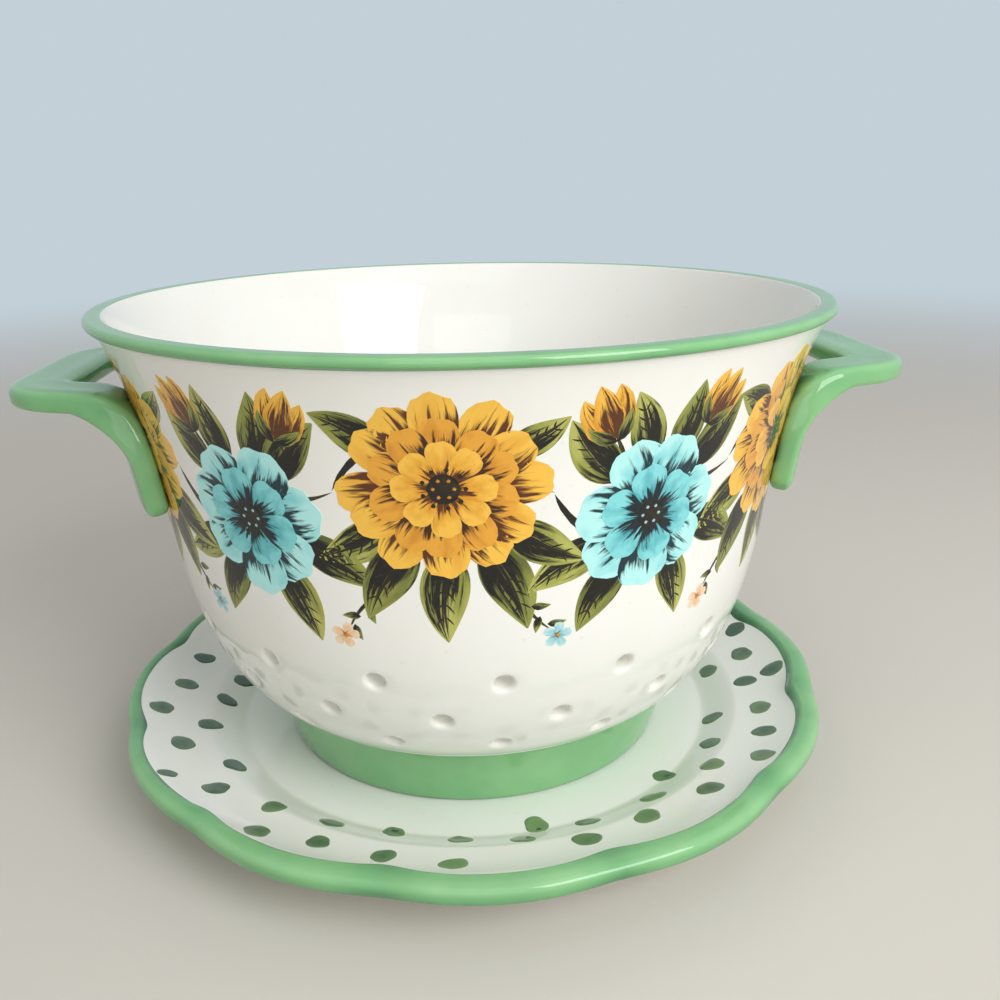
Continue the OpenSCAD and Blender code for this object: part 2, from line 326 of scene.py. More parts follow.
@dataclass(frozen=True)
class Glaze(Finish):
    """Fired glaze over stoneware: a coloured coat that thins on edges and pools in corners.

    The colour clouds a little where the coat is thicker, under a clear, hard top.
    """

    name: str
    thin: str
    full: str
    pooled: str
    cloud_mm: float
    top: ClearTop
    speckle: float = 0.0
    speck_gap_mm: float = 4.5
    clay: str = "#B9A888"
    cloud_share: float = 0.55
    edge_share: float = 0.42

    def surface(self, tree: Any) -> Any:
        """Builds it. The mesh's attribute thin is 1 on worn edges and -1 in corners; on some pieces it also
        carries painted highlight and shade.

        Args:
            tree: the material's node tree.

        Returns:
            The output that holds the surface.
        """
        place = add_node(tree, "TexCoord").outputs["Object"]
        look = {"Scale": 1 / (self.cloud_mm * MM), "Detail": 3.0, "Roughness": 0.55}
        cloud = add_node(tree, "TexNoise", look, {"Vector": place}).outputs["Fac"]
        spread = MULTIPLY_ADD | {1: self.cloud_share, 2: (1 - self.cloud_share) / 2}
        clouded = add_node(tree, "Math", spread, {0: cloud}).outputs[0]
        thin = add_node(tree, "Attribute", {"attribute_name": "thin"}).outputs["Fac"]
        coat = add_node(tree, "Math", MULTIPLY_ADD | {1: self.edge_share}, {0: thin, 2: clouded}).outputs[0]
        stops = [(0.06, linear(self.pooled)), (0.5, linear(self.full)), (0.94, linear(self.thin))]
        colour = add_node(tree, "ValToRGB", {"stops": stops}, {"Fac": coat}).outputs["Color"]
        if self.speckle:
            # iron specks of the clay, about 0.5 mm across, showing faintly through the glaze
            specks = add_node(tree, "TexVoronoi", {"Scale": 1 / (self.speck_gap_mm * MM)}, {"Vector": place})
            fade = {1: 0.05, 2: 0.10, 3: self.speckle, 4: 0.0}
            dot = add_node(tree, "MapRange", fade, {0: specks.outputs["Distance"]}).outputs[0]
            colour = add_node(tree, "Mix", COLOURS | {7: linear(self.clay)}, {0: dot, 6: colour}).outputs[2]
        return self.top.over(tree, place, colour)


@dataclass(frozen=True)
class BareStoneware(Finish):
    """Unglazed stoneware, wiped clean where the pot stands in the kiln: dull, sandy and warm."""

    name: str = "bare fired stoneware"
    light: str = "#DDD0B8"
    dark: str = "#C2B192"
    grit_mm: float = 0.7
    grit_height_mm: float = 0.06
    blotch_mm: float = 18.0

    def surface(self, tree: Any) -> Any:
        """Builds it: grit in the colour and in the bump.

        Args:
            tree: the material's node tree.

        Returns:
            The output that holds the surface.
        """
        place = add_node(tree, "TexCoord").outputs["Object"]
        sizes = ((self.grit_mm, 4.0), (self.blotch_mm, 2.0))
        looks = [{"Scale": 1 / (size * MM), "Detail": detail} for size, detail in sizes]
        grit, broad = (add_node(tree, "TexNoise", look, {"Vector": place}).outputs["Fac"] for look in looks)
        both = add_node(tree, "Math", {"operation": "MULTIPLY"}, {0: grit, 1: broad}).outputs[0]
        stops = [(0.12, linear(self.dark)), (0.36, linear(self.light))]
        colour = add_node(tree, "ValToRGB", {"stops": stops}, {"Fac": both}).outputs[0]
        height = {"Strength": 0.5, "Distance": self.grit_height_mm * MM}
        bump = add_node(tree, "Bump", height, {"Height": grit}).outputs[0]
        matt = {"Roughness": 0.82, "IOR": 1.5}
        return add_node(tree, "BsdfPrincipled", matt, {"Base Color": colour, "Normal": bump}).outputs[0]


@dataclass(frozen=True)
class EnamelPrint(Finish):
    """Painted enamel under the clear glaze: brushed from a dark heart to a light tip.

    The map paint runs along a petal or leaf and across it, so the brush streaks lie lengthwise.
    Streaks and blotches are counted along and across one stroke.
    """

    name: str = "brushed enamel under clear glaze"
    top: ClearTop = ClearTop(13.0, 0.10, 0.35)
    streaks: tuple[float, float, float] = (1.6, 9.0, 1.0)
    blotches: tuple[float, float, float] = (2.2, 2.6, 1.0)
    streak_share: float = 2.2
    tip_share: float = 0.55

    def surface(self, tree: Any) -> Any:
        """Builds it from the mesh's colours heart, ink and tip, its value shade and its map paint.

        Args:
            tree: the material's node tree.

        Returns:
            The output that holds the surface.
        """
        paint = add_node(tree, "UVMap", {"uv_map": "paint"}).outputs[0]
        along = add_node(tree, "SeparateXYZ", links={0: paint}).outputs[0]
        noises = []
        for scale, detail, roughness in ((self.streaks, 3.0, 0.6), (self.blotches, 2.0, 0.5)):
            place = add_node(tree, "Mapping", {"Scale": scale}, {"Vector": paint}).outputs[0]
            look = {"Scale": 1.0, "Detail": detail, "Roughness": roughness}
            noises.append(add_node(tree, "TexNoise", look, {"Vector": place}).outputs["Fac"])
        streak, blotch = noises
        shade, heart, ink, tip = (
            add_node(tree, "Attribute", {"attribute_name": key}).outputs[kind]
            for key, kind in (("shade", "Fac"), ("heart", "Color"), ("ink", "Color"), ("tip", "Color"))
        )
        darker, lighter = MULTIPLY_ADD | {1: self.streak_share}, MULTIPLY_ADD | {1: self.tip_share}
        rough = add_node(tree, "Math", darker, {0: streak, 2: shade}).outputs[0]
        dark = add_node(tree, "MapRange", {1: 1.32, 2: 1.58, 3: 0.0, 4: 1.0}, {0: rough}).outputs[0]
        bright = add_node(tree, "Math", lighter, {0: along, 2: blotch}).outputs[0]
        light = add_node(tree, "MapRange", {1: 0.58, 2: 1.0, 3: 0.0, 4: 1.0}, {0: bright}).outputs[0]
        lit = add_node(tree, "Mix", COLOURS, {0: light, 6: ink, 7: tip}).outputs[2]
        colour = add_node(tree, "Mix", COLOURS, {0: dark, 6: lit, 7: heart}).outputs[2]
        return self.top.over(tree, add_node(tree, "TexCoord").outputs["Object"], colour)


@dataclass(frozen=True)
class StudioPaper(Finish):
    """Pale matt paper: it takes the pots' shadow near them, and is seen as an even backdrop far off."""

    name: str = "pale studio paper"
    floor: str = "#DAD6CE"
    backdrop: str = "#C3D0D8"
    near_m: float = 0.30
    far_m: float = 1.10

    def surface(self, tree: Any) -> Any:
        """Builds it. Only what the camera and gloss see of the far part glows, so it lights nothing.

        Args:
            tree: the material's node tree.

        Returns:
            The output that holds the surface.
        """
        floor = {"Base Color": linear(self.floor), "Roughness": 0.9, "Specular IOR Level": 0.2}
        matt = add_node(tree, "BsdfPrincipled", floor).outputs[0]
        place = add_node(tree, "TexCoord").outputs["Object"]
        reach = add_node(tree, "VectorMath", {"operation": "LENGTH"}, {0: place}).outputs["Value"]
        fade = {"interpolation_type": "SMOOTHSTEP", 1: self.near_m, 2: self.far_m}
        far = add_node(tree, "MapRange", fade, {0: reach}).outputs[0]
        share = add_node(tree, "Math", {"operation": "MULTIPLY"}, {0: far, 1: seen_share(tree)}).outputs[0]
        glow = add_node(tree, "Emission", {"Color": linear(self.backdrop), "Strength": 1.0}).outputs[0]
        return add_node(tree, "MixShader", links={0: share, 1: matt, 2: glow}).outputs[0]


# Meshes


def add_object(name: str, data: Any) -> Any:
    """Puts an object with that mesh, lamp or camera into the scene, and gives it back."""
    made = bpy.data.objects.new(name, data)
    bpy.context.scene.collection.objects.link(made)
    return made


class Body(Enum):
    """The two fired pots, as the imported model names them."""

    BOWL = "bowl"
    PLATE = "plate"


class Slot(Enum):
    """The record's finishes."""

    IVORY = "ivory_glaze"
    JADE = "jade_glaze"
    BARE = "bare_stoneware"


class Piece:
    """Collects grids of points with their faces and makes them one mesh."""

    def __init__(self, name: str) -> None:
        """Starts an empty piece with that name.

        Args:
            name: the object's name.
        """
        self.name = name
        self.points: list[Array] = []
        self.faces: list[Array] = []
        self.values: dict[str, list[Array]] = {}
        self.count = 0

    def add(self, points: Array, faces: Array, flip: bool = False, **values: Array) -> None:
        """Adds points and the faces over them.

        Args:
            points: grid of points.
            faces: faces numbered within this grid.
            flip: turn the faces round.
            values: one value or vector per point, by attribute name.
        """
        flat = points.reshape(-1, 3)
        self.points.append(flat)
        self.faces.append((faces[:, ::-1] if flip else faces) + self.count)
        for key, value in values.items():
            self.values.setdefault(key, []).append(np.asarray(value, float).reshape(len(flat), -1))
        self.count += len(flat)

    def add_grid(self, points: Array, thin: Any, wrap_rows: bool = False, flip: bool = False) -> None:
        """Adds a grid of rows whose columns close into loops.

        Args:
            points: the grid.
            thin: how thin the glaze is, with painted highlight and shade on some pieces, a number or what
                broadcasts to rows and columns.
            wrap_rows: the last row joins the first.
            flip: turn the faces round.
        """
        size = points.shape[:2]
        self.add(points, grid_faces(*size, wrap_rows), flip, thin=np.broadcast_to(thin, size))

    def add_turned(
        self, rz: Array, azimuth: Array, thin: Any, wrap_rows: bool = False, flip: bool = False
    ) -> None:
        """Adds an outline carried round the axis.

        Args:
            rz: radius and height, for each row or for each row and azimuth.
            azimuth: azimuths of the columns.
            thin: as in add_grid.
            wrap_rows: the outline is closed.
            flip: turn the faces round.
        """
        rz = rz if rz.ndim == 3 else rz[:, None]
        self.add_grid(turned(rz[..., 0], rz[..., 1], azimuth[None]), thin, wrap_rows, flip)

    def add_cap(self, loop: Array, thin: Array, flip: bool = False) -> None:
        """Closes a loop with a fan round its middle. It faces where the loop runs anticlockwise.

        Args:
            loop: points of the loop.
            thin: one value per point.
            flip: turn the faces round.
        """
        n = len(loop)
        i = np.arange(n)
        faces = np.stack([np.full(n, n), i, (i + 1) % n], -1)
        self.add(np.vstack([loop, loop.mean(0)]), faces, flip, thin=np.append(thin, thin.mean()))

    def add_values(self, mesh: Any, key: str, value: Array) -> None:
        """Writes one attribute: a map for paint, a colour for four numbers, or else a value.

        Args:
            mesh: the mesh that takes it.
            key: its name.
            value: one row per point.
        """
        if key == "paint":
            corner = np.zeros(len(mesh.loops), np.int32)
            mesh.loops.foreach_get("vertex_index", corner)
            mesh.uv_layers.new(name=key).data.foreach_set("uv", value[corner].astype(np.float32).ravel())
            return
        kind, part = ("FLOAT_COLOR", "color") if value.shape[1] == 4 else ("FLOAT", "value")
        mesh.attributes.new(key, kind, "POINT").data.foreach_set(part, value.astype(np.float32).ravel())

    def build(
        self, material: Any, body: Body, slot: Slot, nodes: tuple[str, ...] = (), sharp: float = math.pi
    ) -> None:
        """Welds the grids, makes the object, and ties it to the frame.

        Args:
            material: its finish.
            body: the pot it moves with.
            slot: the record's finish it would take; not used.
            nodes: the CAD nodes it stands for.
            sharp: edges that turn by more than this angle are shaded sharp.
        """
        points = np.vstack(self.points)
        steps = np.round(points / WELD_MM).astype(np.int64)
        _, kept, number = np.unique(steps, axis=0, return_index=True, return_inverse=True)
        number = number.reshape(-1)
        faces = [row for block in self.faces for row in number[block].tolist()]
        mesh = bpy.data.meshes.new(self.name)
        mesh.from_pydata((points[kept] * MM).tolist(), [], faces)
        for key, parts in self.values.items():
            self.add_values(mesh, key, np.vstack(parts)[kept])
        mesh.shade_smooth()
        mesh.set_sharp_from_angle(angle=sharp)
        mesh.materials.append(material)
        mesh.update()
        made = add_object(self.name, mesh)
        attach(made, body.value)
        if nodes:
            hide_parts(*nodes)
        LOG.info("%s: %d points, %d faces", self.name, len(kept), len(faces))


# The bowl


@dataclass
class WallShape:
    """Outline of the bowl's wall: one cubic from the foot to the belly, one from there to the rim.

    v is the length along the outline from the foot. Depth is measured inwards, square to it.
    """

    foot_r: float = 50.2
    foot_z: float = 19.9
    belly_r: float = 68.1
    belly_z: float = 61.0
    rim_r: float = 78.4
    rim_z: float = 105.4
    foot_t: float = 5.0
    belly_t: float = 4.0
    rim_t: float = 2.9
    foot_rise: float = math.radians(35)
    belly_lean: float = math.radians(7.5)
    rim_lean: float = math.radians(26)
    foot_pull_share: float = 0.364
    belly_low_pull_share: float = 0.243
    belly_high_pull_share: float = 0.385
    rim_pull_share: float = 0.311
    steps: int = 400

    def __post_init__(self) -> None:
        """Works out the table of radius, height, inward direction and thickness against v."""
        s = np.linspace(0, 1, self.steps)
        start, belly = np.array([self.foot_r, self.foot_z]), np.array([self.belly_r, self.belly_z])
        end = np.array([self.rim_r, self.rim_z])
        low, high = np.linalg.norm(belly - start), np.linalg.norm(end - belly)
        rise = np.array([math.cos(self.foot_rise), math.sin(self.foot_rise)])
        lean = np.array([math.sin(self.belly_lean), math.cos(self.belly_lean)])
        flare = np.array([math.sin(self.rim_lean), math.cos(self.rim_lean)])
        from_foot = start + self.foot_pull_share * low * rise
        to_belly = belly - self.belly_low_pull_share * low * lean
        from_belly = belly + self.belly_high_pull_share * high * lean
        to_rim = end - self.rim_pull_share * high * flare
        lower, upper = [start, from_foot, to_belly, belly], [belly, from_belly, to_rim, end]
        p = np.vstack([cubic(lower, s), cubic(upper, s)[1:]])
        way = np.vstack([cubic_way(lower, s), cubic_way(upper, s)[1:]])
        t = np.concatenate([mixed(self.foot_t, self.belly_t, s), mixed(self.belly_t, self.rim_t, s)[1:]])
        self.v_table = np.concatenate([[0], np.cumsum(np.linalg.norm(np.diff(p, axis=0), axis=1))])
        self.columns = np.column_stack([p, -way[:, 1], way[:, 0], t])
        self.length = float(self.v_table[-1])

    def column(self, v: Array, number: int) -> Array:
        """One column of the table at v."""
        return np.interp(v, self.v_table, self.columns[:, number])

    def thickness(self, v: Array) -> Array:
        """Wall thickness at v."""
        return self.column(v, 4)

    def outline(self, v: Array, depth: Array) -> Array:
        """Radius and height at v and depth, side by side."""
        r = self.column(v, 0) + self.column(v, 2) * depth
        return np.stack(np.broadcast_arrays(r, self.column(v, 1) + self.column(v, 3) * depth), -1)

    def inner_outline(self, v: Array) -> Array:
        """Radius and height of the inner face at v, side by side."""
        return self.outline(v, self.thickness(v))

    def place(self, azimuth: Array, v: Array, depth: Array) -> Array:
        """x, y, z at an azimuth, v and depth."""
        rz = self.outline(v, depth)
        return turned(rz[..., 0], rz[..., 1], azimuth)

    def v_at(self, z: float) -> float:
        """v where the outer face is at that height."""
        return float(np.interp(z, self.columns[:, 1], self.v_table))

    def radius_at(self, z: Array) -> Array:
        """Outer radius at a height."""
        return np.interp(z, self.columns[:, 1], self.columns[:, 0])


def cell_loop(across: int, up: int) -> Array:
    """Loop round a square from its lower left corner, anticlockwise, each side from -1 to 1.

    Args:
        across: steps along the lower and the upper side.
        up: steps along the right and the left side.

    Returns:
        One row of two numbers per point.
    """
    a, b = np.linspace(-1, 1, across + 1)[:-1], np.linspace(-1, 1, up + 1)[:-1]
    one_a, one_b = np.ones(across), np.ones(up)
    return np.vstack([np.column_stack(side) for side in ((a, -one_a), (one_b, b), (-a, one_a), (-one_b, -b))])


@dataclass
class PiercedBody:
    """Wall and floor of the bowl as one glazed shell with real, soft-edged drain holes.

    Round each hole a four-sided cell runs in to a circle, over a quarter round into the hole,
    through the wall, and out again on the inside. The cells of one row share their edges.
    """

    wall: WallShape
    bead_edge: tuple[float, float]
    floor_top_z: float = 23.9
    floor_low_z: float = 19.9
    floor_edge_r: float = 44.4
    floor_low_edge_r: float = 44.3
    hole_r: float = 1.8
    edge_round: float = 0.95
    wall_holes: int = 17
    rows_above_foot: tuple[float, ...] = (7.3, 15.1, 24.6)
    cells_below: float = 4.4
    cells_above: float = 4.8
    phase: float = math.radians(18)
    ring_step: float = 12.5
    rings: int = 3
    holes_in_first_ring: int = 6
    middle_flat_r: float = 4.6
    groove_v: float = 1.85
    groove_w: float = 0.36
    groove_depth: float = 0.40
    ledge_end_v: float = 0.9
    groove_end_v: float = 3.2
    under_bead: tuple[tuple[float, float], ...] = ((78.2, 105.8), (77.7, 106.4), (77.0, 107.2))
    bead_sector: tuple[float, float] = (98.0, 154.0)
    bead_reach: tuple[float, ...] = (0.95, 0.98, 1.01, *[1.04] * 6)
    under_r: tuple[float, float] = (46.5, 49.5)
    ledge: tuple[tuple[float, float], ...] = ((49.95, 19.98), (50.25, 20.18), (50.5, 20.3))
    under_coat: tuple[float, ...] = (0.0, 0.0, 0.2, 0.5, 0.6, 0.5)
    groove_pool_and_shade: float = -3.0
    corner_coat: float = -0.25
    hole_coat: float = -0.5
    corner_pull_shares: tuple[float, float] = (0.42, 0.45)
    cell_segments: int = 16
    cell_up: int = 6
    floor_segments: int = 144
    flat_steps: int = 3
    round_steps: int = 4

    def rounding(self) -> tuple[Array, Array]:
        """Radius and depth of the quarter round that leads from a face into a hole."""
        f = np.linspace(0, math.pi / 2, self.round_steps + 1)
        return self.hole_r + self.edge_round * (1 - np.sin(f)), self.edge_round * (1 - np.cos(f))

    def cells(
        self, centre_a: Array, centre: float, low: float, high: float, half_a: float, across: int, polar: bool
    ) -> tuple[Array, Array, Array]:
        """Azimuth, place along the surface and depth of every point of one row of cells.

        Args:
            centre_a: azimuth of each hole.
            centre: v of the holes, or their radius on the floor.
            low: the cells' lower edge.
            high: their upper edge.
            half_a: half their width as an angle.
            across: segments along the lower and upper edge.
            polar: the cells lie on the flat floor.

        Returns:
            The three, each by hole, row and column.
        """
        loop = cell_loop(across, self.cell_up)
        edge_a = loop[:, 0] * half_a
        edge_v = mixed(low, high, (loop[:, 1] + 1) / 2)
        r0 = centre if polar else float(self.wall.column(np.array(centre), 0))
        angle = np.arctan2(edge_v - centre, edge_a * r0)

        def circle(radius: float) -> tuple[Array, Array]:
            """Azimuth and place along the surface of a circle round the hole."""
            x, y = radius * np.cos(angle), radius * np.sin(angle)
            if polar:
                return np.arctan2(x, centre + y), np.hypot(x, centre + y)
            return x / self.wall.column(centre + y, 0), centre + y

        def thickness(v: Array) -> Array:
            """Thickness at v, or of the floor."""
            return np.full_like(v, self.floor_top_z - self.floor_low_z) if polar else self.wall.thickness(v)

        radii, sunk = self.rounding()
        start_a, start_v = circle(radii[0])
        # the steps on the flat crowd a little towards the hole
        shares = np.linspace(0, 1, self.flat_steps + 1)[:-1] ** 0.85
        flat = [(mixed(edge_a, start_a, w), mixed(edge_v, start_v, w)) for w in shares]
        rounds = [(*circle(radius), depth) for radius, depth in zip(radii, sunk)]
        rows = [(a, v, 0 * v) for a, v in flat]
        rows += [(a, v, depth + 0 * v) for a, v, depth in rounds]
        rows += [(a, v, thickness(v) - depth) for a, v, depth in rounds[::-1]]
        rows += [(a, v, thickness(v)) for a, v in flat[::-1]]
        a, v, depth = (np.array(part) for part in zip(*rows))
        shape = (len(centre_a), *a.shape)
        a = centre_a[:, None, None] + a
        return np.broadcast_to(a, shape), np.broadcast_to(v, shape), np.broadcast_to(depth, shape)

    def add_cells(self, piece: Piece, points: Array, depth: Array, thickness: float, flip: bool) -> None:
        """Adds rows of pierced cells, with their glaze pooled inside the holes.

        Args:
            piece: where they go.
            points: points by hole, row and column.
            depth: depth of every point.
            thickness: least thickness of the wall there.
            flip: turn the faces round.
        """
        holes, rows, columns = points.shape[:3]
        starts = (np.arange(holes) * rows * columns)[:, None, None]
        faces = (grid_faces(rows, columns)[None] + starts).reshape(-1, 4)
        margin = 0.1
        inside = (depth > margin) & (depth < thickness - margin)
        piece.add(points, faces, flip, thin=np.where(inside, self.hole_coat, 0.0))

    def add_wall_rows(self, piece: Piece, v_rows: list[float], edges: list[float]) -> None:
        """Adds the three staggered rows of cells in the wall.

        Args:
            piece: where they go.
            v_rows: v of the holes in each row.
            edges: v of the rows' lower and upper edges, one more than there are rows.
        """
        pitch = FULL_TURN / self.wall_holes
        least = 4.2
        for k, v in enumerate(v_rows):
            centres = self.phase + (np.arange(self.wall_holes) + 0.5 * (k % 2)) * pitch
            low, high = edges[k : k + 2]
            a, along, depth = self.cells(centres, v, low, high, pitch / 2, self.cell_segments, False)
            self.add_cells(piece, self.wall.place(a, along, depth), depth, least, False)

    def add_rim(self, piece: Piece, azimuth: Array, low: float) -> None:
        """Adds the rest of the outer face, hidden through the bead, round its inner edge and down.

        Args:
            piece: where it goes.
            azimuth: azimuths of the columns.
            low: v where it starts and ends.
        """
        wall = self.wall
        v_up = np.linspace(low, wall.length, 46)
        # white glaze runs up over the bead's inner edge, 0.1 mm below the green and then to its face
        sector = at_degrees(np.linspace(*self.bead_sector, len(self.bead_reach)))
        edge = np.array(self.bead_edge) + np.array(self.bead_reach)[:, None] * sector
        outline = np.vstack([wall.outline(v_up, 0), self.under_bead, edge, wall.inner_outline(v_up[::-1])])
        piece.add_turned(outline, azimuth, 0.0)

    def add_foot(self, piece: Piece, azimuth: Array, high: float) -> None:
        """Adds the foot of the wall: underside, a fine ledge, a shallow groove, then the outer face.

        Args:
            piece: where it goes.
            azimuth: azimuths of the columns.
            high: v where it ends.
        """
        up_groove = np.linspace(self.ledge_end_v, self.groove_end_v, 16)
        v_low = np.concatenate([up_groove, np.linspace(self.groove_end_v, high, 8)[1:]])
        groove = self.groove_depth * hump(v_low, self.groove_v, self.groove_w)
        under = [(r, self.floor_low_z) for r in (self.floor_low_edge_r, *self.under_r)]
        outline = np.vstack([under, self.ledge, self.wall.outline(v_low, groove)])
        # darker in the groove: glaze pooled there, with painted shade in the crease
        thin = np.concatenate([self.under_coat, groove * self.groove_pool_and_shade])
        piece.add_turned(outline, azimuth, thin[:, None])

    def add_corner(self, piece: Piece, azimuth: Array, high: float) -> None:
        """Adds the soft corner that leads the inner face into the floor.

        Args:
            piece: where it goes.
            azimuth: azimuths of the columns.
            high: v where it starts.
        """
        top, above = self.wall.inner_outline(np.array([high, high + 0.5]))
        floor = np.array([self.floor_edge_r, self.floor_top_z])
        reach = np.linalg.norm(top - floor)
        wall_pull, floor_pull = self.corner_pull_shares
        from_wall = top + unit(top - above) * reach * wall_pull
        to_floor = np.array([self.floor_edge_r + reach * floor_pull, self.floor_top_z])
        outline = cubic([top, from_wall, to_floor, floor], np.linspace(0, 1, 9))
        piece.add_turned(outline, azimuth, self.corner_coat)

    def add_floor(self, piece: Piece, azimuth: Array) -> None:
        """Adds the floor: rings of cells with holes, one hole in the middle, and a zip to the wall.

        Args:
            piece: where it goes.
            azimuth: azimuths of the wall's columns.
        """
        n, thickness = self.floor_segments, self.floor_top_z - self.floor_low_z
        half = self.ring_step / 2
        for ring in range(1, self.rings + 1):
            holes, middle = self.holes_in_first_ring * ring, ring * self.ring_step
            a, along, depth = self.cells(
                round_turn(holes), middle, middle - half, middle + half, math.pi / holes, n // holes, True
            )
            self.add_cells(piece, turned(along, self.floor_top_z - depth, a), depth, thickness, True)
        radii, sunk = self.rounding()
        r = np.concatenate([[half, self.middle_flat_r], radii])
        depth = np.concatenate([[0, 0], sunk])
        z = self.floor_top_z - np.concatenate([depth, thickness - depth[::-1]])
        turn = round_turn(n)
        piece.add_turned(np.column_stack([np.concatenate([r, r[::-1]]), z]), turn, 0.0)
        turn = np.roll(turn, -round(self.phase / (FULL_TURN / n)))
        edge_r = (self.rings + 0.5) * self.ring_step
        for z, loop_r, flip in (
            (self.floor_top_z, self.floor_edge_r, True),
            (self.floor_low_z, self.floor_low_edge_r, False),
        ):
            loops = np.vstack([turned(edge_r, z, turn), turned(loop_r, z, azimuth)])
            piece.add(loops, zip_faces(n, len(azimuth)), flip, thin=np.zeros(len(loops)))

    def build(self, material: Any) -> None:
        """Makes the shell, in place of the wall and the floor.

        Args:
            material: its glaze.
        """
        piece, wall = Piece("bowl_body"), self.wall
        azimuth = self.phase + round_turn(self.wall_holes * self.cell_segments)
        v_rows = [wall.v_at(wall.foot_z + h) for h in self.rows_above_foot]
        between = [(a + b) / 2 for a, b in zip(v_rows, v_rows[1:])]
        edges = [v_rows[0] - self.cells_below, *between, v_rows[-1] + self.cells_above]
        self.add_wall_rows(piece, v_rows, edges)
        self.add_rim(piece, azimuth, edges[-1])
        self.add_foot(piece, azimuth, edges[0])
        self.add_corner(piece, azimuth, edges[0])
        self.add_floor(piece, azimuth)
        piece.build(material, Body.BOWL, Slot.IVORY, ("bowl_wall", "strainer_floor"))


@dataclass
class RimBead:
    """Flat rolled bead on the rim, with round edges. The white glaze inside runs up to its top."""

    wall: WallShape
    bead_r: float = 1.05
    inner_edge: tuple[float, float] = (76.854, 106.450)
    flat_w: float = 2.1
    outer_start: float = -82.0
    inner_end: float = 114.0
    end_wander: float = 5.0
    skirt_h: float = 0.28
    skirt_t: float = 0.03
    skirt_wander: float = 0.12
    fillet_pulls: tuple[float, float] = (0.16, 0.30)
    tuck: float = 0.12
    tuck_turn: float = 7.0
    tucked: tuple[tuple[float, float], ...] = ((77.3, 106.4), (77.9, 105.7), (77.9, 105.0))
    columns: int = 288

    def build(self, material: Any) -> None:
        """Makes it: a hair of skirt, round outer edge, flat top and round inner edge, closed within.

        Args:
            material: its glaze.
        """
        piece, wall, radius = Piece("rim_bead_glazed"), self.wall, self.bead_r
        azimuth, ones = round_turn(self.columns), np.ones((self.columns, 1))
        inner = np.array(self.inner_edge)
        outer = inner + [self.flat_w, 0.0]
        skirt_v = wall.length - self.skirt_h - self.skirt_wander * drift(azimuth, 3)
        skirt = wall.outline(skirt_v, np.full_like(skirt_v, -self.skirt_t))
        up = unit(wall.outline(wall.length, 0) - wall.outline(wall.length - 0.4, 0))
        start = outer + radius * at_degrees(self.outer_start * np.ones(self.columns))
        rise, run = self.fillet_pulls
        fillet = cubic([skirt, skirt + up * rise, start - [run, 0.0], start], np.linspace(0, 1, 6))
        round_out = outer + radius * at_degrees(np.linspace(self.outer_start, 90, 18)[1:, None] * ones.T)
        flat = mixed(outer, inner, np.linspace(0, 1, 5)[1:-1, None]) + [0.0, radius]
        end = self.inner_end + self.end_wander * drift(azimuth, 4)
        round_in = inner + radius * at_degrees(mixed(90, end, np.linspace(0, 1, 7)[:, None]))
        tuck = inner + (radius - self.tuck) * at_degrees((end + self.tuck_turn)[None])
        hidden = np.array(self.tucked)[:, None] * ones[None]
        rz = np.concatenate([fillet, round_out, flat[:, None] * ones[None], round_in, tuck, hidden])
        # darker under the roll and lighter over its round edges: pooled and thin glaze, with painted shade
        # under the roll and a painted highlight along its upper outer edge
        outer_pool_and_painted_light = [np.linspace(-0.7, -0.5, 6), np.linspace(-0.4, 0.45, 11), np.linspace(0.45, 0.1, 6)]
        thin = np.concatenate([*outer_pool_and_painted_light, [0.0] * 3, np.linspace(0.1, 0.55, 7), [0.5] * 4])
        piece.add_turned(rz, azimuth, thin[:, None], wrap_rows=True)
        piece.build(material, Body.BOWL, Slot.JADE, ("rim_bead",))


@dataclass
class FootRing:
    """Turned ring with softened lower edges, either the bowl's or the plate's."""

    base_r: float
    base_w: float
    base_z: float
    top_r: float
    top_w: float
    top_z: float
    base_round: float
    top_round: float = 0.05
    thinness: float = 0.85
    columns: int = 240

    def build(self, material: Any, name: str, body: Body, slot: Slot, node: str) -> None:
        """Makes it as an outline carried round the axis. Its outline runs anticlockwise in r and z.

        Args:
            material: its finish.
            name: the piece's name.
            body: the pot it belongs to.
            slot: the record's finish, passed on to the piece.
            node: the CAD node it stands for.
        """
        piece = Piece(name)
        outline = rounded_outline([
            (self.base_r, self.base_z, self.base_round),
            (self.top_r, self.top_z, self.top_round),
            (self.top_r - self.top_w, self.top_z, self.top_round),
            (self.base_r - self.base_w, self.base_z, self.base_round),
        ])
        z = outline[:, 1]
        # darker at the base and a little under the wall: glaze that runs down and pools, with painted contact
        # shade where the ring stands and painted shade under the wall's overhang
        pooled = 1.3 * hump(z, z.min(), 1.3) + 0.5 * smooth(z.max() - 2.0, z.max(), z)
        piece.add_turned(outline, round_turn(self.columns), (self.thinness - pooled)[:, None], wrap_rows=True)
        piece.build(material, body, slot, (node,))


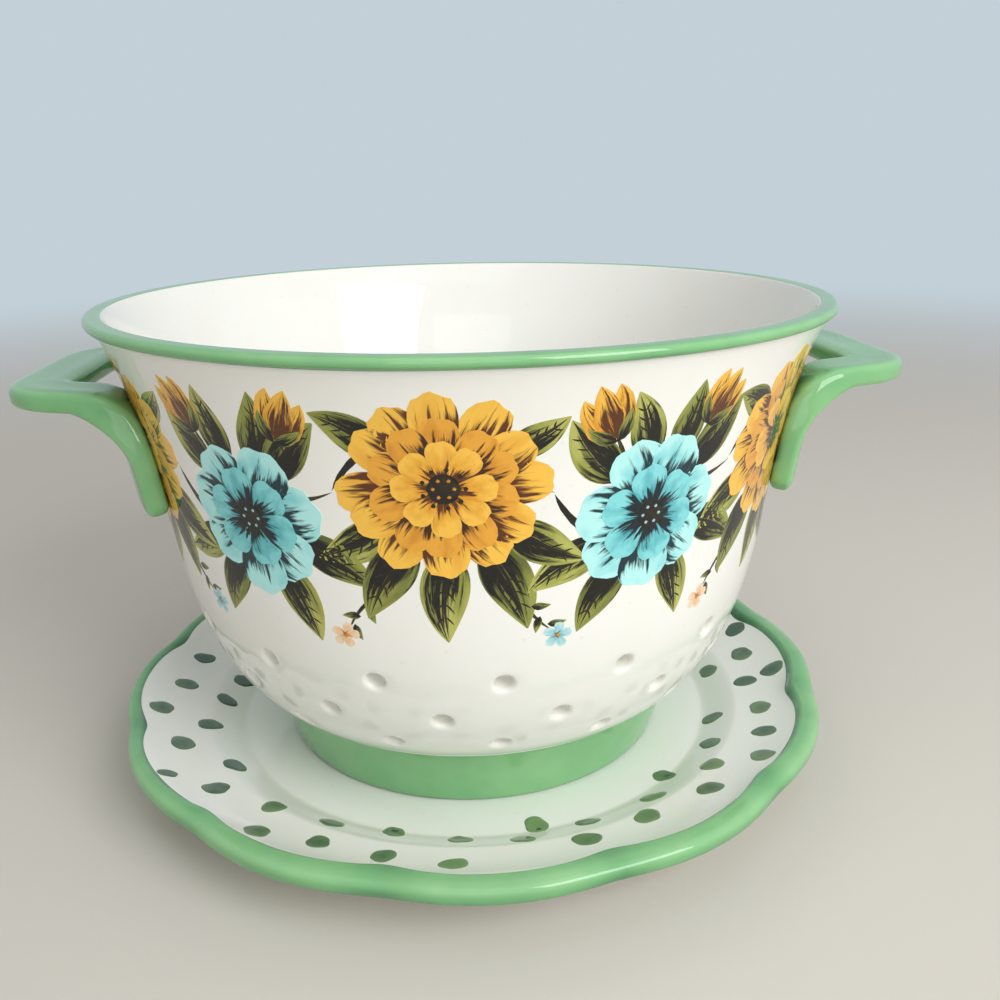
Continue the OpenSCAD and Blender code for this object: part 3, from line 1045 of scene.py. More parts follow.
@dataclass
class Handle:
    """Strap lug: up the wall, round a bend, out along an arm, round a corner and along the grip."""

    wall: WallShape
    grip_reach: float = 88.9
    grip_z: float = 91.6
    grip_half: float = 20.5
    strap_w: float = 12.5
    strap_t: float = 5.0
    corner_r: float = 9.0
    leg_a: float = math.radians(22.5)
    leg_end_z: float = 67.6
    bend_run: float = 11.0
    bend_drop: float = 13.0
    bend_swell: float = 2.5
    luting: float = 0.3
    bend_pull_share: float = 0.46
    corner_pull_share: float = 0.6
    edge_share: float = 0.54
    tip_round: float = 3.4
    thumb_hollow: float = 0.35
    thumb_width: float = 0.55
    worn_edge: float = 0.86
    worn_width: float = 0.12
    seam_reach: float = 1.3
    seam_spread: float = 0.75
    section: int = 48

    def on_wall(self, z: float, out: float) -> Array:
        """Point out from the wall at a height, above the leg at -Y."""
        r = float(self.wall.radius_at(z)) + out
        return np.array([r * math.cos(self.leg_a), -r * math.sin(self.leg_a), z])

    def arm(self) -> tuple[Array, Array, Array]:
        """Where the arm leaves the wall, the grip's corner, and the direction from one to the other."""
        root, corner = self.on_wall(self.grip_z, 0), np.array([self.grip_reach, -self.grip_half, self.grip_z])
        return root, corner, unit(corner - root)

    def stations(self) -> tuple[Array, Array, Array, Array]:
        """Centre line of one half, from the leg's tip to the middle of the grip.

        Returns:
            Places, directions, shares of the bend and shares of the full section.
        """
        out = self.strap_t / 2 - self.luting
        foot, head = self.on_wall(self.leg_end_z, out), self.on_wall(self.grip_z - self.bend_drop, out)
        root, corner, arm = self.arm()
        leg, bar = unit(head - foot), np.array([0.0, 1.0, 0.0])
        arm_start = root + self.bend_run * arm
        cut = self.corner_r * math.tan(math.acos(float(arm @ bar)) / 2)
        start, end = corner - cut * arm, corner + cut * bar
        middle = np.array([self.grip_reach, 0.0, self.grip_z])
        rise, run = self.bend_pull_share * self.bend_drop, self.bend_pull_share * self.bend_run
        bend = [head, head + rise * leg, arm_start - run * arm, arm_start]
        pull = self.corner_pull_share * cut
        turn = [start, start + pull * arm, end - pull * bar, end]
        # the steps crowd towards the rounded tip
        s, b = np.linspace(0, 1, 16)[:-1] ** 1.5, np.linspace(0, 1, 28)
        arm_s, c, bar_s = np.linspace(0, 1, 7)[1:-1], np.linspace(0, 1, 20), np.linspace(0, 1, 9)[1:]
        parts = [
            (mixed(foot, head, s[:, None]), np.tile(leg, (len(s), 1))),
            (cubic(bend, b), cubic_way(bend, b)),
            (mixed(arm_start, start, arm_s[:, None]), np.tile(arm, (len(arm_s), 1))),
            (cubic(turn, c), cubic_way(turn, c)),
            (mixed(end, middle, bar_s[:, None]), np.tile(bar, (len(bar_s), 1))),
        ]
        place, way = (np.vstack(part) for part in zip(*parts))
        share = np.concatenate([0 * s, b, np.ones(len(place) - len(s) - len(b))])
        from_tip = np.clip(s * np.linalg.norm(head - foot) / self.tip_round, 0, 1)
        tip = np.maximum(np.sqrt(1 - (1 - from_tip) ** 2) ** 0.8, 0.05)
        return place, way, share, np.concatenate([tip, np.ones(len(place) - len(s))])

    def axes(self, way: Array, share: Array) -> tuple[Array, Array]:
        """The section's axes. Its width turns from lying on the wall to lying level.

        Args:
            way: directions of the centre line.
            share: shares of the bend.

        Returns:
            Directions across the strap and up from its face.
        """
        _, _, arm = self.arm()
        turn = smooth(0, 1, share)[:, None]
        on_wall = np.array([math.sin(self.leg_a), math.cos(self.leg_a), 0.0])
        beside_way = unit(np.stack([-way[:, 1], way[:, 0], 0 * way[:, 0] + 1e-9], -1))
        level = np.where(turn < 1, np.array([-arm[1], arm[0], 0.0]), beside_way)
        loose = mixed(on_wall, level, turn)
        across = unit(loose - np.sum(loose * way, -1, keepdims=True) * way)
        return across, np.cross(way, across)

    def rings(self) -> tuple[Array, Array]:
        """Section rings of the whole strap: a rounded oblong that swells in the middle of the bend.

        Returns:
            Points by ring and place round it, and how thin the glaze is on each, with painted shade at the
            seam and in the bend.
        """
        place, way, share, full = self.stations()
        across, up = (axis[:, None] for axis in self.axes(way, share))
        a = round_turn(self.section)
        wide, lift = (np.sign(f) * np.abs(f) ** self.edge_share for f in (np.cos(a), np.sin(a)))
        swell = (self.bend_swell * np.sin(math.pi * share) ** 2)[:, None]
        high = (self.strap_t / 2 + np.where(lift > 0, swell, 0)) * lift
        section = self.strap_w / 2 * wide[None, :, None] * across + high[..., None] * up
        p = place[:, None] + full[:, None, None] * section
        # the thumb has pressed the upper face a little hollow along its middle
        hollow = self.thumb_hollow * np.clip(lift, 0, 1) ** 2 * hump(wide, 0.0, self.thumb_width)
        p = p - (hollow[None] * smooth(0.5, 1, share)[:, None])[..., None] * up
        # pressed onto the wall: nothing lies deeper than the luting, and the clay spreads at its edge
        seat = self.wall.radius_at(p[..., 2]) - self.luting
        above = (np.hypot(p[..., 0], p[..., 1]) - seat - self.luting) / self.seam_reach
        near = np.clip(1 - above, 0, 1) ** 2 * (1 - smooth(0.55, 0.9, share))[:, None]
        spread = self.seam_spread * near * np.sign(wide)[None] * np.abs(wide)[None] ** 2
        p = p + (spread * smooth(0.2, 0.9, full)[:, None])[..., None] * across
        r = np.hypot(p[..., 0], p[..., 1])
        grow = np.maximum(r, seat) / r
        p = np.stack([p[..., 0] * grow, p[..., 1] * grow, p[..., 2]], -1)
        # lighter on the long edges, where the glaze is thin; darker along the seam with the wall and over the
        # bend's upper face: pooled glaze, with painted shade where the strap meets the wall
        edge = hump(np.abs(wide), self.worn_edge, self.worn_width)[None] * np.ones(len(place))[:, None]
        bend_pool_and_shade = smooth(0.15, 0.5, share)[:, None] * (1 - smooth(0.5, 0.85, share))[:, None]
        thin = 0.55 * edge - 1.1 * near - 0.5 * bend_pool_and_shade * np.clip(lift, 0, 1)[None]
        other = p[:-1][::-1] * np.array([1.0, -1.0, 1.0])
        return np.concatenate([p, other]), np.concatenate([thin, thin[:-1][::-1]])

    def build(self, material: Any, node: str, side: float) -> None:
        """Makes one handle.

        Args:
            material: its glaze.
            node: its CAD node.
            side: 1 on +X, -1 on -X, where it is turned half round.
        """
        piece = Piece(node + "_glazed")
        rings, thin = self.rings()
        rings = rings * np.array([side, side, 1.0])
        piece.add_grid(rings, thin)
        piece.add_cap(rings[0], thin[0], True)
        piece.add_cap(rings[-1], thin[-1])
        piece.build(material, Body.BOWL, Slot.JADE, (node,))


# The plate


@dataclass
class PlateShape:
    """Well, cove and rim of the plate, and the scalloped line of its lip."""

    top_z: float = 5.8
    well_r: float = 57.0
    cove_r: float = 65.5
    cove_z: float = 9.5
    cove_pull_share: float = 0.2
    rim_r: float = 78.6
    rim_z: float = 14.1
    rim_low_a: float = math.radians(10)
    rim_high_a: float = math.radians(30)
    rim_pull_share: float = 0.35
    mean_r: float = 83.8
    scallops: int = 12
    swing: float = 0.6
    notch_share: float = 0.25
    flute_depth: float = 0.34
    lip_w: float = 4.1
    lip_rise: float = 1.5
    deep_a: float = math.radians(306)
    deep_swell: float = 1.3
    deep_turn: float = 2.6
    lip_wander: float = 0.18

    def __post_init__(self) -> None:
        """Works out height against radius: cubics of cove and rim, then up the lip's inner side."""
        low, high, s = math.tan(self.rim_low_a), math.tan(self.rim_high_a), np.linspace(0, 1, 40)
        start, bend, end = (self.well_r, self.top_z), (self.cove_r, self.cove_z), (self.rim_r, self.rim_z)
        pull = self.cove_pull_share * (self.cove_r - self.well_r)
        to_bend = (self.cove_r - pull, self.cove_z - pull * low)
        cove = cubic([start, (self.well_r + pull, self.top_z), to_bend, bend], s)
        pull = self.rim_pull_share * (self.rim_r - self.cove_r)
        from_bend = (self.cove_r + pull, self.cove_z + pull * low)
        to_lip = (self.rim_r - pull, self.rim_z - pull * high)
        rim = cubic([bend, from_bend, to_lip, end], s)
        beyond = np.linspace(0, 6, 13)[1:]
        rise = self.lip_rise * (1 - np.exp(-beyond * high / self.lip_rise))
        up = np.column_stack([self.rim_r + beyond, self.rim_z + rise])
        self.table = np.vstack([[[0.0, self.top_z]], cove, rim[1:], up])

    def lobe(self, azimuth: Array) -> Array:
        """1 in the middle of a scallop, 0 in the soft notch between two."""
        wave, k = np.cos(azimuth * self.scallops / 2), self.notch_share
        return (np.sqrt(wave**2 + k**2) - k) / (math.sqrt(1 + k**2) - k)

    def edge_r(self, azimuth: Array) -> Array:
        """Outer radius of the lip."""
        return self.mean_r + self.swing * (2 * self.lobe(azimuth) - 1)

    def lip_width(self, azimuth: Array) -> Array:
        """Width of the green lip: wider towards the front right, as the plate was dipped."""
        deeper = np.tanh(self.deep_turn * np.cos(azimuth - self.deep_a))
        wander = self.lip_wander * drift(azimuth, 11, (3, 7, 11, 19))
        return self.lip_w + self.deep_swell * deeper + wander

    def top(self, r: Array, azimuth: Array) -> Array:
        """Height of the upper face; shallow flutes run in from the notches and fade on the rim."""
        flute = self.flute_depth * (1 - self.lobe(azimuth)) ** 2 * smooth(70, 80, r)
        return np.interp(r, self.table[:, 0], self.table[:, 1]) - flute


# radius and height of the dish's underside, from inside its foot to the lip
UNDERSIDE = (
    (20, 1.6), (48, 1.6), (55.5, 1.6), (57, 1.62), (58.5, 2.0), (60.5, 3.0), (63, 4.4), (65.5, 5.7),
    (68, 6.35), (70, 6.9), (72, 7.5), (74, 8.3), (76, 9.2), (78, 10.3), (78.6, 11.4),
)

# azimuth in degrees and radius of the painted dots in front, where the photograph shows them
OUTER_DOTS = (
    (167.0, 73.0), (177.9, 72.9), (188.1, 76.4), (199.7, 72.2), (216.4, 71.1), (232.3, 75.2), (241.2, 70.7),
    (252.4, 70.6), (263.5, 71.9), (285.3, 68.1), (297.6, 67.4), (311.1, 70.1), (323.3, 74.8), (331.9, 72.7),
    (341.0, 70.9), (352.1, 68.6), (353.7, 75.6), (2.8, 71.2), (11.9, 74.8),
)
INNER_DOTS = (
    (170.6, 61.0), (180.8, 62.6), (192.4, 65.6), (209.0, 63.4), (227.1, 65.3), (238.2, 61.5), (250.1, 58.2),
    (263.7, 59.3), (275.4, 61.9), (279.6, 55.7), (289.4, 59.6), (304.4, 61.3), (313.9, 56.9), (319.0, 65.6),
    (328.5, 61.4), (340.1, 59.9), (0.9, 61.6),
)


@dataclass
class Plate:
    """The drip plate: glazed dish, rolled green lip and painted dots."""

    shape: PlateShape = field(default_factory=PlateShape)
    columns: int = 480
    tuck: float = 1.4
    wheel_ring_depth: float = 0.03
    wheel_ring_turn: float = 0.9
    crest_z: float = 15.68
    crest_sag: float = 0.22
    crest_wander: float = 0.10
    notch_reach: float = 0.9
    notch_coat: float = -0.5
    under_z: float = 11.3
    outer_dot_r: float = 2.72
    inner_dot_r: float = 2.5
    edge_dot: tuple[float, float, float] = (210.9, 78.4, 1.9)
    dot_rings: int = 7
    dot_sides: int = 28

    def build_dish(self, material: Any) -> None:
        """Makes the dish: out under the foot, over the edge inside the lip, and back over the top.

        Args:
            material: its glaze.
        """
        piece, shape = Piece("plate_dish_glazed"), self.shape
        azimuth = round_turn(self.columns)
        edge = shape.edge_r(azimuth) - shape.lip_width(azimuth) + self.tuck
        low = np.broadcast_to(np.array(UNDERSIDE)[:, None], (len(UNDERSIDE), self.columns, 2))
        side = np.stack([np.stack([edge, np.full_like(edge, z)], -1) for z in (12.0, 12.9, 13.6)])
        rim_r = mixed(edge[None], shape.cove_r, np.linspace(0, 1, 30)[:, None])
        inwards = np.concatenate([np.linspace(65.2, 56.6, 32), np.linspace(55, 8, 14)])
        top_r = np.concatenate([rim_r, inwards[:, None] * np.ones(self.columns)])
        top = np.stack([top_r, shape.top(top_r, azimuth[None])], -1)
        rz = np.concatenate([low, side, top])
        r, z = rz[..., 0], rz[..., 1]
        # a potter's wheel leaves faint rings in the well
        well = smooth(6, 14, r) * (1 - smooth(50, 56, r)) * (z > 5)
        ripple = self.wheel_ring_depth * np.sin(r * self.wheel_ring_turn) * well
        # pooled in the cove, worn where the rim begins
        coat = 0.25 * hump(r, 65.3, 1.8) - 0.45 * hump(r, 58.2, 1.6)
        thin = np.where(z > shape.top_z - 0.1, coat, 0)
        grid = turned(r, z - np.abs(ripple), azimuth[None])
        piece.add_grid(grid, thin)
        piece.add_cap(grid[0], thin[0], True)
        piece.add_cap(grid[-1], thin[-1])
        piece.build(material, Body.PLATE, Slot.IVORY, ("plate_dish",))

    def build_lip(self, material: Any) -> None:
        """Makes the lip: a flat-topped roll whose outer face stands upright.

        Args:
            material: its glaze.
        """
        piece, shape = Piece("plate_lip_glazed"), self.shape
        azimuth = round_turn(self.columns * 2)
        outer = shape.edge_r(azimuth)
        dip = (1 - shape.lobe(azimuth)) ** 3
        inner = outer - shape.lip_width(azimuth) - self.notch_reach * dip
        floor_z = shape.top(inner, azimuth) + 0.04
        wander = self.crest_wander * (drift(azimuth, 5, (5, 9)) + 1) / 2
        crest, low = self.crest_z - self.crest_sag * dip - wander, self.under_z

        def at(x: Any, z: Any) -> Array:
            """Points x out from the inner edge at height z, one per azimuth."""
            return np.stack(np.broadcast_arrays(inner + x, z + 0 * azimuth), -1)

        width = outer - inner
        crown, brow, sole = at(1.7, crest), at(width, crest - 1.9), at(width - 1.9, low)
        curves = [
            ([at(0, floor_z), at(0.55, floor_z + 0.14), at(0.5, crest - 0.05), crown], 9),
            ([crown, at(width - 0.75, crest), at(width, crest - 0.55), brow], 12),
            ([brow, at(width, 12.2), at(width - 0.5, low), sole], 10),
            ([sole, at(width - 2.8, low), at(79 - inner, 11.0), at(77.9 - inner, 10.5)], 6),
        ]
        parts = [cubic(points, np.linspace(0, 1, n))[min(k, 1) :] for k, (points, n) in enumerate(curves)]
        rz = np.concatenate([*parts, np.stack([at(0.3, 11.6), at(0.3, floor_z - 0.5)])])
        # pooled at the inner edge; lighter over the crest and darker down the outer face: thin and pooled
        # glaze, with a painted highlight on the crest and painted shade on the outer face
        thin = np.zeros(len(rz))
        thin[:9] = np.linspace(-0.75, 0.15, 9)
        thin[9:20] = 0.15 + 0.5 * np.sin(np.linspace(0, math.pi, 11))
        thin[20:29] = np.linspace(0.0, -0.7, 9)
        coat = thin[:, None] + self.notch_coat * dip[None]
        piece.add_turned(rz, azimuth, coat, wrap_rows=True, flip=True)
        piece.build(material, Body.PLATE, Slot.JADE, ("plate_lip",))

    def dot_places(self, rng: Any) -> Array:
        """Azimuth in degrees, radius and size of every dot; those behind go on at the same spacing.

        Args:
            rng: source of the small unevenness.

        Returns:
            One row per dot.
        """
        outer, inner = list(OUTER_DOTS), list(INNER_DOTS)
        outer += [(a + rng.uniform(-2, 2), rng.uniform(70.0, 75.0)) for a in np.arange(22, 160, 10.2)]
        inner += [(a + rng.uniform(-2, 2), rng.uniform(60, 65.5)) for a in np.arange(10, 165, 10.6)]
        sized = [(a, r, self.outer_dot_r) for a, r in outer] + [(a, r, self.inner_dot_r) for a, r in inner]
        return np.array([*sized, self.edge_dot])

    def build_dots(self, material: Any) -> None:
        """Makes the painted dots: low, uneven lenses of green glaze in two loose rows.

        Args:
            material: their glaze.
        """
        piece, shape, rng = Piece("painted_dots"), self.shape, np.random.default_rng(21)
        spots = self.dot_places(rng)
        n, sides = len(spots), self.dot_sides
        size = (spots[:, 2] * rng.uniform(0.92, 1.06, n))[:, None, None]
        q = np.linspace(0.12, 1, self.dot_rings)[None, :, None]
        theta = round_turn(sides)[None, None, :]
        phase = rng.uniform(0, FULL_TURN, (3, n))[..., None, None]
        waves = zip((2, 3, 5), (0.10, 0.045, 0.025), phase)
        uneven = 1 + sum(height * np.cos(count * theta + start) for count, height, start in waves)
        reach = size * q * mixed(1, uneven, q)
        a0, r0 = np.radians(spots[:, 0])[:, None, None], spots[:, 1][:, None, None]
        x = r0 * np.cos(a0) + reach * np.cos(theta)
        y = r0 * np.sin(a0) + reach * np.sin(theta)
        height = 0.025 + 0.13 * (1 - q**5) * np.ones_like(reach)
        # painted light: the dots are lighter and yellower towards the front right, the side that faces the
        # key lamp
        front = 0.55 * np.cos(np.radians(spots[:, 0] - 285))
        tone = (front + rng.uniform(-0.3, 0.3, n))[:, None, None] + 0.35 * q - 0.1

        def lay(x: Array, y: Array, out: Array) -> Array:
            """Points on the plate's upper face, raised by out."""
            return np.stack([x, y, shape.top(np.hypot(x, y), np.arctan2(y, x)) + out], -1)

        upper = lay(x, y, height)
        lower = lay(x[:, -1:], y[:, -1:], np.full_like(x[:, -1:], -0.06))
        under_tone = np.full((1, sides), -0.3)
        for k in range(n):
            # from the middle out over the top, then under the rim of the dot; closed at both ends
            grid = np.concatenate([upper[k], lower[k]])
            thin = np.concatenate([np.broadcast_to(tone[k], (self.dot_rings, sides)), under_tone])
            piece.add_grid(grid, thin, flip=True)
            piece.add_cap(grid[0], thin[0])
            piece.add_cap(grid[-1], thin[-1], True)
        piece.build(material, Body.PLATE, Slot.JADE)


# The printed garland


class Ink(Enum):
    """Enamel colours: heart, body and tip."""

    OCHRE = ("#5A2C08", "#E09722", "#FAC44C")
    AMBER = ("#3C1D06", "#C97C16", "#EBA938")
    TURQUOISE = ("#05303A", "#74D0D8", "#B8F5F3")
    TEAL = ("#031F27", "#35A0AC", "#86DCE0")
    OLIVE = ("#0B0E04", "#858B38", "#B9BA62")
    MOSS = ("#080A03", "#626A2C", "#999E4A")
    SEED = ("#0B0804", "#1A150A", "#2E2512")
    PALE_BLUE = ("#3F7F8C", "#8CC9D2", "#BFE6EA")
    PEACH = ("#B0733C", "#EDBE8C", "#F7DDBD")
    TWIG = ("#0E0C06", "#25220F", "#45401F")


class Layer(float, Enum):
    """How far each kind of stroke stands over the wall, from the lowest to the uppermost."""

    TWIG = 0.010
    STALK = 0.012
    LEAF = 0.016
    LEAFLET = 0.018
    FLORET = 0.030
    FLORET_EYE = 0.046
    BUD = 0.052
    PETAL = 0.056
    SEPAL = 0.082
    EYE = 0.110
    STAMEN = 0.117


class Form(Enum):
    """Outline of a painted stroke, as the half width at each share of its length."""

    PETAL = "petal"
    LEAF = "leaf"
    DAB = "dab"

    def half_width(self, s: Array) -> Array:
        """Half width as a share of the stroke's own.

        A petal widens from a narrow foot to a broad end, a leaf tapers to both ends with a slightly
        toothed edge, and a dab is round.

        Args:
            s: shares of the length.

        Returns:
            One share of the width for each.
        """
        if self is Form.PETAL:
            return np.maximum(s**0.62 * (1 - 0.42 * s**5) * 1.08, 0.05)
        if self is Form.LEAF:
            teeth = 1 + 0.07 * np.sin(44 * s)
            return np.maximum(np.sin(math.pi * np.clip(s, 0, 1) ** 0.78) ** 0.85 * teeth, 0.03)
        return np.maximum(np.sqrt(np.maximum(1 - (2 * s - 1) ** 2, 0)), 0.08)

    def shade(self, s: Array, t: Array, cover: float) -> Array:
        """How much of the dark heart shows, as the streaks meet it.

        Args:
            s: shares of the length, as a column.
            t: places across, from -1 to 1.
            cover: share of a petal's length that lies under others, where its dark heart ends.

        Returns:
            One value per point.
        """
        if self is Form.PETAL:
            return 0.42 + 1.7 * (cover - s) - 0.30 * t[None]
        if self is Form.LEAF:
            return 0.84 - 0.72 * s - 0.60 * np.abs(t - 0.2)[None] + 0.50 * (t < 0)[None]
        return 0.10 + 0.3 * np.abs(t)[None] + 0 * s


@dataclass(frozen=True)
class Bloom:
    """A flower head of rings of petals round an eye, from the outermost ring in.

    Each ring has its count, its length and width as shares of the radius, its ink, and the share
    of its petals that the next ring covers.
    """

    radius: float
    rings: tuple[tuple[int, float, float, Ink, float], ...]
    foot_r: float
    first_a: float
    length_range: tuple[float, float]
    bend_a: float
    crown: float
    across: int
    eye_share: float
    stamen: Ink


# a full daisy: three rings of broad petals round a dark eye with bright stamens
DAISY = Bloom(
    radius=16.6, foot_r=1.5, first_a=0.0, length_range=(0.93, 1.04), bend_a=14.0, crown=0.09, across=6,
    rings=((12, 1.0, 0.6, Ink.OCHRE, 0.68), (10, 0.74, 0.5, Ink.AMBER, 0.58), (8, 0.5, 0.38, Ink.OCHRE, 0.3)),
    eye_share=0.17, stamen=Ink.AMBER,
)
# a windflower: two rings of wide, cupped petals round a black eye
WINDFLOWER = Bloom(
    radius=13.6, foot_r=1.2, first_a=13.0, length_range=(0.94, 1.03), bend_a=10.0, crown=0.12, across=8,
    rings=((7, 1.0, 0.98, Ink.TURQUOISE, 0.62), (6, 0.66, 0.66, Ink.TEAL, 0.42)),
    eye_share=0.2, stamen=Ink.PALE_BLUE,
)

# foot to the right and up, heading in degrees, and length of the leaves round each kind of flower
DAISY_LEAVES = (
    (-9, -5, 208, 17), (-5, -9, 240, 19), (1, -10, 266, 18), (6, -9, 294, 19), (10, -5, 328, 17),
    (-9, 7, 152, 14), (10, 8, 30, 13),
)
WINDFLOWER_LEAVES = (
    (-8, -11, 206, 16), (-4, -15, 240, 16), (4, -15, 294, 16), (9, -10, 334, 16), (-7, 1, 132, 16),
    (7, 1, 52, 16), (-2, 3, 104, 16), (3, 3, 78, 15),
)


@dataclass
class Brush:
    """Paints strokes round one middle point on the wall, as thin closed slabs of enamel.

    Places are millimetres to the right of and above that point, along the surface.
    """

    wall: WallShape
    piece: Piece
    azimuth: float
    v: float
    rng: Any
    petal_rise: float = 0.005
    stroke_rise: float = 0.0004
    ring_rise: float = 0.018
    neighbour_rise: float = 0.008
    leaf_rise: float = 0.012
    vein_rise: float = 0.006
    bud_rise: float = 0.010
    sunk: float = 0.05

    def stroke(
        self, xy: Any, angle: float, length: float, width: float, form: Form, ink: Ink, level: float,
        bend: float = 0.0, crown: float = 0.0, steps: tuple[int, int] = (9, 6), cover: float = 0.15,
    ) -> tuple[Array, Array, Array]:
        """Paints one petal, leaf or dab.

        The midline's heading turns evenly by bend over its length, and a petal's end is crowned.

        Args:
            xy: the stroke's foot from the middle point.
            angle: its heading in degrees, from the right, anticlockwise.
            length: its length.
            width: its full width.
            form: its outline.
            ink: its colours.
            level: its height over the wall, which keeps layers apart.
            bend: how far the heading turns, in degrees.
            crown: how far the middle of the end stands out, as a share of the length.
            steps: steps along and across it.
            cover: share of a petal's length that lies under others, where its dark heart ends.

        Returns:
            The midline's x and y, and its heading.
        """
        number, (along, across) = len(self.piece.points), steps
        s, t = np.linspace(0, 1, along + 1), np.linspace(-1, 1, across + 1)
        heading = np.radians(angle + bend * (s - 0.5))
        middle = (heading[1:] + heading[:-1]) / 2
        step = length / along
        cx = xy[0] + np.concatenate([[0], np.cumsum(np.cos(middle) * step)])
        cy = xy[1] + np.concatenate([[0], np.cumsum(np.sin(middle) * step)])
        half = (width / 2 * form.half_width(s))[:, None]
        ruffle = crown * length * (s**3)[:, None] * ((1 - t**2) + 0.22 * np.cos(5.2 * t + number))[None]
        over, up = np.cos(heading)[:, None], np.sin(heading)[:, None]
        x = cx[:, None] - up * half * t + over * ruffle
        y = cy[:, None] + over * half * t + up * ruffle
        v = self.v + y
        a = self.azimuth + x / self.wall.column(v, 0)
        # no two strokes that cross lie at quite the same height
        rise = level + self.stroke_rise * (number % 8) + 0 * x
        if form is Form.PETAL:
            rise = rise + self.petal_rise * (t[None] + 1) / 2
        top, low = self.wall.place(a, v, -rise), self.wall.place(a, v, np.full_like(v, self.sunk))
        # a closed tube of rows: over the top, back underneath, with both ends closed by quads
        grid = np.concatenate([top, low[:, ::-1]], 1)
        rows, columns = grid.shape[:2]
        i = np.arange(across)
        end = np.stack([i, i + 1, columns - 2 - i, columns - 1 - i], -1)
        faces = np.concatenate([grid_faces(rows, columns), end[:, ::-1], end + (rows - 1) * columns])
        shade = form.shade(s[:, None], t, cover)
        shift = (number * 3.7) % 97
        uv = np.stack(np.broadcast_arrays(s[:, None], (t[None] + 1) / 2 + shift), -1)
        ones = np.ones((rows * columns, 1))
        heart, body, tip = (np.array(linear(c)) * ones for c in ink.value)
        values = {
            "shade": np.concatenate([shade, shade[:, ::-1]], 1),
            "paint": np.concatenate([uv, uv[:, ::-1]], 1),
            "heart": heart,
            "ink": body,
            "tip": tip,
        }
        # the tube's columns run against the wall's azimuth, so that its faces point outwards
        self.piece.add(grid, faces, True, **values)
        return cx, cy, heading

    def dab(self, xy: Any, radius: float, ink: Ink, level: float, steps: tuple[int, int] = (4, 2)) -> None:
        """Paints a round dab about a point."""
        self.stroke((xy[0] - radius, xy[1]), 0, radius * 2, radius * 2, Form.DAB, ink, level, steps=steps)

    def bloom(self, xy: tuple[float, float], kind: Bloom) -> None:
        """Paints a flower head. Neighbouring petals lie on two levels, so that they overlap.

        Args:
            xy: its middle.
            kind: its petals and eye.
        """
        rng = self.rng
        for ring, (count, length, width, ink, cover) in enumerate(kind.rings):
            for k in range(count):
                angle = (k + 0.5 * (ring % 2)) * 360 / count + kind.first_a + rng.uniform(-5, 5)
                foot = np.array(xy) + kind.foot_r * at_degrees(angle)
                reach = (kind.radius * length - kind.foot_r) * rng.uniform(*kind.length_range)
                level = Layer.PETAL + self.ring_rise * ring + self.neighbour_rise * (k % 2)
                bend = rng.uniform(-kind.bend_a, kind.bend_a)
                self.stroke(
                    foot, angle, reach, kind.radius * width, Form.PETAL, ink, level, bend, kind.crown,
                    (9, kind.across), cover,
                )
        eye = kind.radius * kind.eye_share
        self.dab(xy, eye, Ink.SEED, Layer.EYE, (8, 4))
        for count, share, size, stamen in ((9, 1.28, 0.42, Ink.SEED), (6, 0.62, 0.34, kind.stamen)):
            for k in range(count):
                self.dab(np.array(xy) + eye * share * at_degrees(k * 360 / count), size, stamen, Layer.STAMEN)

    def bud(self, xy: tuple[float, float], angle: float, length: float, ink: Ink) -> None:
        """Paints a closed bud on a short stalk, held by two sepals.

        Args:
            xy: its foot.
            angle: its heading in degrees.
            length: its length.
            ink: its colours.
        """
        way, foot, leaf = at_degrees(angle), np.array(xy), Form.LEAF
        side = np.array([-way[1], way[0]])
        stalk, sepal = foot - way * length * 0.55, foot - way * 0.8
        self.stroke(stalk, angle, length * 0.65, 0.9, leaf, Ink.TWIG, Layer.STALK, 18, steps=(6, 2))
        for k, (turn, shift) in enumerate(((24, -0.10), (-24, 0.10), (0, 0.0))):
            start, level = foot + side * length * shift, Layer.BUD + self.bud_rise * k
            self.stroke(start, angle + turn, length * 0.92, length * 0.46, leaf, ink, level, -turn * 2.2)
        long, wide, level = length * 0.55, length * 0.2, Layer.SEPAL
        for turn in (38, -38):
            self.stroke(sepal, angle + turn, long, wide, leaf, Ink.MOSS, level, -turn * 1.1, steps=(7, 4))

    def sprig(self, xy: tuple[float, float], angle: float, petals: Ink, length: float = 11.0) -> None:
        """Paints a thin twig with three leaflets and one five-petalled floret.

        Args:
            xy: its foot.
            angle: its heading in degrees.
            petals: the floret's colours.
            length: the twig's length.
        """
        way, foot, leaf = at_degrees(angle), np.array(xy), Form.LEAF
        self.stroke(xy, angle, length, 0.7, leaf, Ink.TWIG, Layer.TWIG, 35, steps=(9, 2))
        for share, turn in ((0.35, 55), (0.6, -50), (0.8, 60)):
            start = foot + way * length * share
            self.stroke(start, angle + turn, 3.6, 1.5, leaf, Ink.MOSS, Layer.LEAFLET, 20, steps=(6, 4))
        end = foot + way * (length + 1)
        for k in range(5):
            turn = k * 72 + self.rng.uniform(0, 20)
            self.stroke(end, turn, 2.5, 2.3, Form.PETAL, petals, Layer.FLORET, 0, 0.10, (5, 4))
        self.dab(end, 0.5, Ink.AMBER, Layer.FLORET_EYE)

